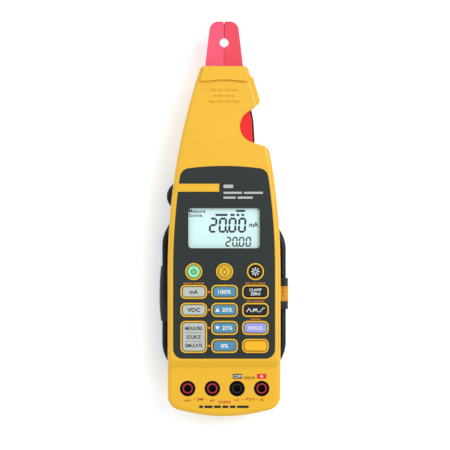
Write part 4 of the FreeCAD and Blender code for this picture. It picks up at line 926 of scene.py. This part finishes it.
class METER_OT_jaws(Step, bpy.types.Operator):
    """Finish the jaws, the lever and its grip"""

    bl_idname = "meter.jaws"
    bl_label = "Jaws and lever"

    def work(self):
        grain, relief = 0.35 * MM, 0.01 * MM
        paint(moulded("fixed_jaw_plastic", colours().fixed_jaw, 0.34, grain, relief), "fixed_jaw")
        paint(self.two_reds(grain, relief), "moving_jaw")
        grip = rubber("grip_rubber", srgb(34, 12, 16))
        paint(grip, "lever_grip")
        paint(metal("core_plate", srgb(120, 118, 116), 0.4), "fixed_core", "moving_core")
        steel = metal("pin_steel", srgb(190, 190, 194), 0.22)
        paint(steel, "pivot_pin")
        self.coil(steel)
        self.ridges(grip)
        # The sheets in the seam are painted shade: a dark red for the shade in the crack between the jaws.
        self.seam_shade_sheets(rubber("seam_shade_dark", srgb(40, 8, 14)))

    def coil(self, steel):
        """The return spring, which the lever shortens along X as the jaw opens; this copy of its CAD part
        rides on the case and is not shortened.
        """
        build = bmesh.new()
        build.from_mesh(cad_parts["jaw_spring"].data)
        made = piece("return_coil", build, steel, "case")
        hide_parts("jaw_spring")
        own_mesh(made)

    def two_reds(self, grain, relief):
        """The moving jaw's plastic, which is a deeper red on the lever than beyond the mouth."""
        finish = Finish("moving_jaw_plastic")
        reds, start, blend = colours(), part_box("front_case")[1].y - 8 * MM, 4 * MM
        deep = ((start - finish.along("Y")) / blend).clamped()
        patches, fine = finish.noise(20 * MM, 3), finish.noise(grain, 2)
        tone = finish.mixed(deep, reds.moving_jaw, reds.lever)
        tone = finish.mixed(patches * 0.3, tone, scaled(reds.lever, 0.8))
        return finish.coated(tone, 0.34 + (fine - 0.5) * 0.12, fine, relief)

    def seam_shade_sheets(self, material):
        """Thin dark sheets on the two faces that meet along the seam, short of their edges: painted shade
        that keeps the crack between the jaws dark.
        """
        above_pivot, hole, below_tip, sunk = 2.4 * MM, 3.4 * MM, 1.3 * MM, 0.5 * MM
        start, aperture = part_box("front_case")[1].y - above_pivot, centre("moving_core").y
        low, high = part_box("moving_jaw")
        spans = [(start, aperture - hole), (aperture + hole, high.y - below_tip)]
        for body, node, side in (("jaw", "moving_jaw", 1), ("case", "fixed_jaw", -1)):
            outlines = [rounded(side * 0.08 * MM, (a + b) / 2, 0.14 * MM, b - a) for a, b in spans]
            plates(f"{node}_lip", outlines, low.z + sunk, high.z - low.z - 2 * sunk, material, body)

    def ridges(self, material):
        """Small round ridges let into the grip, which lean in towards its lower end."""
        low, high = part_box("lever_grip")
        count, radius = 8, 0.32 * MM
        first, spread, lean, inset = 0.06, 0.64, 0.75 * MM, 0.12 * MM
        depth = high.z - low.z - 5 * radius
        build = bmesh.new()
        for i in range(count):
            share = (i + 0.5) / count
            y = low.y + (high.y - low.y) * (first + spread * share)
            spot = Matrix.Translation((high.x - inset - lean * share, y, (low.z + high.z) / 2))
            cylinder(build, 14, radius, depth, spot)
        piece("grip_ridges", build, material, "jaw")


class METER_OT_insides(Step, bpy.types.Operator):
    """Finish the boards, chips and screws inside"""

    bl_idname = "meter.insides"
    bl_label = "Insides"

    def work(self):
        paint(circuit("board_mask", colours().board), "main_board", "sensor_board")
        paint(moulded("chip_plastic", srgb(28, 28, 30), 0.5, 0.2 * MM, 0.01 * MM), "board_chips")
        paint(metal("screw_plating", PLATING, 0.28), "board_screws")
        dark = metal("screw_black", srgb(64, 64, 68), 0.4)
        paint(dark, "case_screws")
        self.crosses(dark)

    def crosses(self, material):
        """A raised cross-shaped drive in the middle of each case screw's head."""
        build = bmesh.new()
        base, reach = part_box("case_screws")[0].z, 8 * MM
        heads = []
        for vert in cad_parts["case_screws"].data.vertices:
            if vert.co.z < base + 0.01 * MM:
                near = [head for head in heads if (head[0] - vert.co.xy).length < reach]
                if near:
                    near[0].append(vert.co.xy)
                else:
                    heads.append([vert.co.xy])
        for points in heads:
            x, y = ((min(p[i] for p in points) + max(p[i] for p in points)) / 2 for i in range(2))
            for wide, tall in ((3.2, 0.7), (0.7, 3.2)):
                size = Matrix.Diagonal((wide * MM, tall * MM, 0.25 * MM, 1))
                spot = Matrix.Translation((x, y, base - 0.1 * MM))
                bmesh.ops.create_cube(build, size=1.0, matrix=spot @ size)
        piece("screw_drives", build, material, "case")


class METER_OT_power(Step, bpy.types.Operator):
    """Finish the battery door, the cells and their contacts"""

    bl_idname = "meter.power"
    bl_label = "Batteries and door"

    def work(self):
        door = moulded("door_plastic", colours().case, 0.4, sizes().grain, 0.018 * MM)
        paint(door, "battery_door")
        paint(metal("door_screw_plating", PLATING, 0.28), "door_screw_lower", "door_screw_upper")
        paint(metal("contact_plating", srgb(196, 196, 190), 0.25), "battery_contacts")
        paint(self.jacket(), *(f"battery_cell_{number}" for number in range(1, 5)))
        self.ribs(door)

    def jacket(self):
        """A cell's dark, slightly metallic sleeve, with slow changes of shade."""
        finish = Finish("cell_sleeve")
        fine, slow = finish.noise(0.4 * MM, 2), finish.noise(9 * MM, 2)
        tone = finish.mixed(slow, srgb(30, 34, 44), srgb(60, 66, 80))
        return finish.coated(tone, 0.25 + fine * 0.1, fine, 0.004 * MM, Metallic=0.6)

    def ribs(self, material):
        """Two panels of shallow ribs on the outside of the door, and an arrow between them."""
        middle, proud, sunk = centre("battery_door"), 0.25 * MM, 0.02 * MM
        count, start, pitch = 7, 12, 2.2
        rows = [side * (start + i * pitch) for side in (-1, 1) for i in range(count)]
        bars = [rounded(0, row, 34, 1.0, 0.45) for row in rows]
        arrow = [(-3.2, -2), (3.2, -2), (0, 3.4)]
        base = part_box("battery_door")[0].z - proud
        for name, outlines in (("door_ribs", bars), ("door_arrow", [arrow])):
            plates(name, about(middle, outlines), base, proud + sunk, material, "door")


class METER_OT_lead(Step, bpy.types.Operator):
    """Finish the lead, its grommet and its strain relief"""

    bl_idname = "meter.lead"
    bl_label = "Lead"

    def work(self):
        paint(rubber("lead_jacket", colours().lead), "sensor_lead", "lead_grommet", "head_relief")


class METER_OT_keepers(Step, bpy.types.Operator):
    """Weave the two keepers and the stripe, and stitch the edges of the right keeper and the stripe"""

    bl_idname = "meter.keepers"
    bl_label = "Keepers"

    def work(self):
        shades, weave = colours(), sizes().weave
        cloth, band = woven("strap_weave", shades.strap, weave), woven("stripe_weave", shades.stripe, weave)
        thread = silicone("stitch_thread", scaled(shades.strap, 3))
        orange = silicone("orange_thread", scaled(shades.stripe, 0.6))
        from_side = 8.4 * MM  # how far in from the keeper's side the stripe begins
        self.strap("right_strap", "right_keeper", cloth, 1.1 * MM, 0.9)
        self.strap("left_strap", "left_keeper", cloth, 1.5 * MM, 0.3)
        self.strap("stripe_strap", "keeper_stripe", band, 1.32 * MM, 0.95, from_side)
        self.stitches("right_stitches", "right_keeper", thread, 1.1 * MM)
        self.stitches("stripe_stitches", "keeper_stripe", orange, 1.34 * MM, from_side)

    def route(self, node, from_side=None):
        """The line round the lead that a keeper follows: each point, and its outward direction."""
        low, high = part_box("right_keeper")
        side = 1 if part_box(node)[1].x > 0 else -1
        thick, bend = 1.2 * MM, 2.2 * MM
        start = high.x - from_side if from_side else low.x
        right, top_side, foot = high.x - thick, high.z - thick, low.z + thick
        flat, upper, lower = right - bend, top_side - bend, foot + bend
        points = [(start + (flat - start) * i / 8, top_side, 0, 1) for i in range(9)]
        for middle, first in ((upper, 90), (lower, 0)):
            for step in range(7):
                turn = math.radians(first - 15 * step)
                out, up = math.cos(turn), math.sin(turn)
                points.append((flat + bend * out, middle + bend * up, out, up))
            if middle == upper:
                points += [(right, upper + (lower - upper) * i / 6, 1, 0) for i in range(1, 6)]
        points += [(flat + (start - flat) * i / 8, foot, 0, -1) for i in range(1, 9)]
        return [(Vector((side * x, z)), Vector((side * out, up))) for x, z, out, up in points]

    def rise(self, across, along, thick, edge):
        """How thick the cloth is, across from -1 to 1 and along its route from 0 to 1."""
        off, thinnest, bead, wave = abs(across), 0.35 * MM, 0.08 * MM, 0.05 * MM
        rounding = edge + (1 - edge) * (1 - off**2.5)
        selvedge = bead * math.exp(-(((off - 0.93) / 0.05) ** 2)) if off < 0.97 else 0
        drop = 0.3 * MM if off > 0.985 else 0
        slack = wave * math.sin(along * 37) * math.cos(across * 2.1 + along * 9)
        return max(thick * rounding + selvedge + slack - drop, thinnest)

    def strap(self, name, node, material, thick, edge, from_side=None):
        """One keeper in cloth, in place of its plain solid."""
        route = self.route(node, from_side)
        low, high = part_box(node)
        middle, half, inside, lowest = (low.y + high.y) / 2, (high.y - low.y) / 2, 0.04 * MM, 0.25 * MM
        edges = (0.88, 0.93, 0.97, 0.992, 1)
        columns = [*(-place for place in reversed(edges)), *(i / 10 for i in range(-8, 9)), *edges]
        build = bmesh.new()
        outer, inner = [], []
        for i, (point, out) in enumerate(route):
            share = i / (len(route) - 1)
            for rows, reach in ((outer, self.rise), (inner, lambda *_: inside)):
                row = []
                for across in columns:
                    spot = point + out * reach(across, share, thick, edge)
                    row.append(build.verts.new((spot.x, middle + across * half, max(spot.y, lowest))))
                rows.append(row)
        last = len(columns) - 1
        for i in range(len(route) - 1):
            for rows in (outer, inner):
                for j in range(last):
                    build.faces.new((rows[i][j], rows[i][j + 1], rows[i + 1][j + 1], rows[i + 1][j]))
            for j in (0, last):
                build.faces.new((outer[i][j], outer[i + 1][j], inner[i + 1][j], inner[i][j]))
        for i in (0, -1):
            for j in range(last):
                build.faces.new((outer[i][j], outer[i][j + 1], inner[i][j + 1], inner[i][j]))
        bmesh.ops.recalc_face_normals(build, faces=build.faces)
        for face in build.faces:
            face.smooth = True
        made = piece(name, build, material, "case")
        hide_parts(node)

    def stitches(self, name, node, material, thick, from_side=None):
        """A row of stitches along each edge."""
        route = self.route(node, from_side)
        low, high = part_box(node)
        margin, sunk, radius, long = 1.0 * MM, 0.02 * MM, 0.15 * MM, 0.95 * MM
        build = bmesh.new()
        for y in (low.y + margin, high.y - margin):
            for (first, out), (last, _) in zip(route[1:-9:2], route[2:-8:2]):
                along = Vector((last.x - first.x, 0, last.y - first.y))
                spot = first + out * (thick - sunk)
                turn = along.to_track_quat("Z", "Y").to_matrix().to_4x4()
                cylinder(build, 8, radius, long, Matrix.Translation((spot.x, y, spot.y)) @ turn)
        piece(name, build, material, "case")


class METER_OT_stage(Step, bpy.types.Operator):
    """Set up the floor, the lights and the camera"""

    bl_idname = "meter.stage"
    bl_label = "Stage"

    def work(self):
        scene = bpy.context.scene
        stage = scene.meter_stage
        self.floor()
        self.camera(stage)
        self.light("key", (1.0, 0.6, 1.9), 1.1, stage.key_light)
        self.light("fill", (-1.3, 0.9, 1.5), 1.4, stage.fill_light)
        self.light("low", (0.9, -1.3, 1.5), 1.0, stage.fill_light * 0.6)
        world = bpy.data.worlds.new("studio")
        world.use_nodes = True
        backdrop = world.node_tree.nodes["Background"]
        backdrop.inputs["Color"].default_value = (0.92, 0.96, 1.0, 1)
        backdrop.inputs["Strength"].default_value = stage.surround
        scene.world = world
        scene.view_settings.view_transform = "Standard"

    def floor(self):
        """White paper with a faint cool glow."""
        paper = Finish("paper")
        grain = paper.noise(2 * MM, 2)
        white, glow = (0.93, 0.94, 0.95), {"Emission_Color": (0.86, 0.94, 1.0), "Emission_Strength": 0.3}
        build = bmesh.new()
        bmesh.ops.create_grid(build, x_segments=8, y_segments=8, size=3.0)
        made = meshed("floor", build, paper.surface(Base_Color=white, Roughness=0.9 + grain * 0.05, **glow))

    def camera(self, stage):
        """A camera straight above the meter, far enough for the frame's width at the face."""
        data = bpy.data.cameras.new("camera")
        data.lens, data.sensor_width, data.clip_end = stage.lens, 36, 20
        distance = stage.frame_width * data.lens / data.sensor_width
        made = placed("camera", data)
        made.location = (stage.centre_x, stage.centre_y, top("face_label") * 0.7 + distance)
        bpy.context.scene.camera = made

    def light(self, name, place, size, power):
        """A square soft light that looks at the middle of the meter."""
        data = bpy.data.lights.new(name, "AREA")
        data.shape, data.size, data.energy = "SQUARE", size, power
        made = placed(name, data)
        made.location = place
        made.rotation_euler = (-Vector(place)).to_track_quat("-Z", "Y").to_euler()


STEPS = (
    METER_OT_case,
    METER_OT_label,
    METER_OT_display,
    METER_OT_keys,
    METER_OT_jacks,
    METER_OT_jaws,
    METER_OT_insides,
    METER_OT_power,
    METER_OT_lead,
    METER_OT_keepers,
    METER_OT_stage,
)
SETTINGS = {"meter_colours": MeterColours, "meter_sizes": MeterSizes, "meter_stage": MeterStage}


class METER_PT_sidebar(bpy.types.Panel):
    """The steps and settings in the sidebar"""

    bl_idname = "METER_PT_sidebar"
    bl_label = "Clamp meter"
    bl_space_type = "VIEW_3D"
    bl_region_type = "UI"
    bl_category = "Meter"

    def draw(self, context):
        for step in STEPS:
            self.layout.operator(step.bl_idname)
        for name, group in SETTINGS.items():
            settings = getattr(context.scene, name)
            for key in group.__annotations__:
                self.layout.prop(settings, key)


def register():
    for group in (*SETTINGS.values(), *STEPS, METER_PT_sidebar):
        bpy.utils.register_class(group)
    for name, group in SETTINGS.items():
        setattr(bpy.types.Scene, name, PointerProperty(type=group))


def unregister():
    for name in SETTINGS:
        delattr(bpy.types.Scene, name)
    for group in reversed((*SETTINGS.values(), *STEPS, METER_PT_sidebar)):
        bpy.utils.unregister_class(group)


def main():
    register()
    for step in STEPS:
        module, name = step.bl_idname.split(".")
        getattr(getattr(bpy.ops, module), name)()


if __name__ == "__main__":
    main()
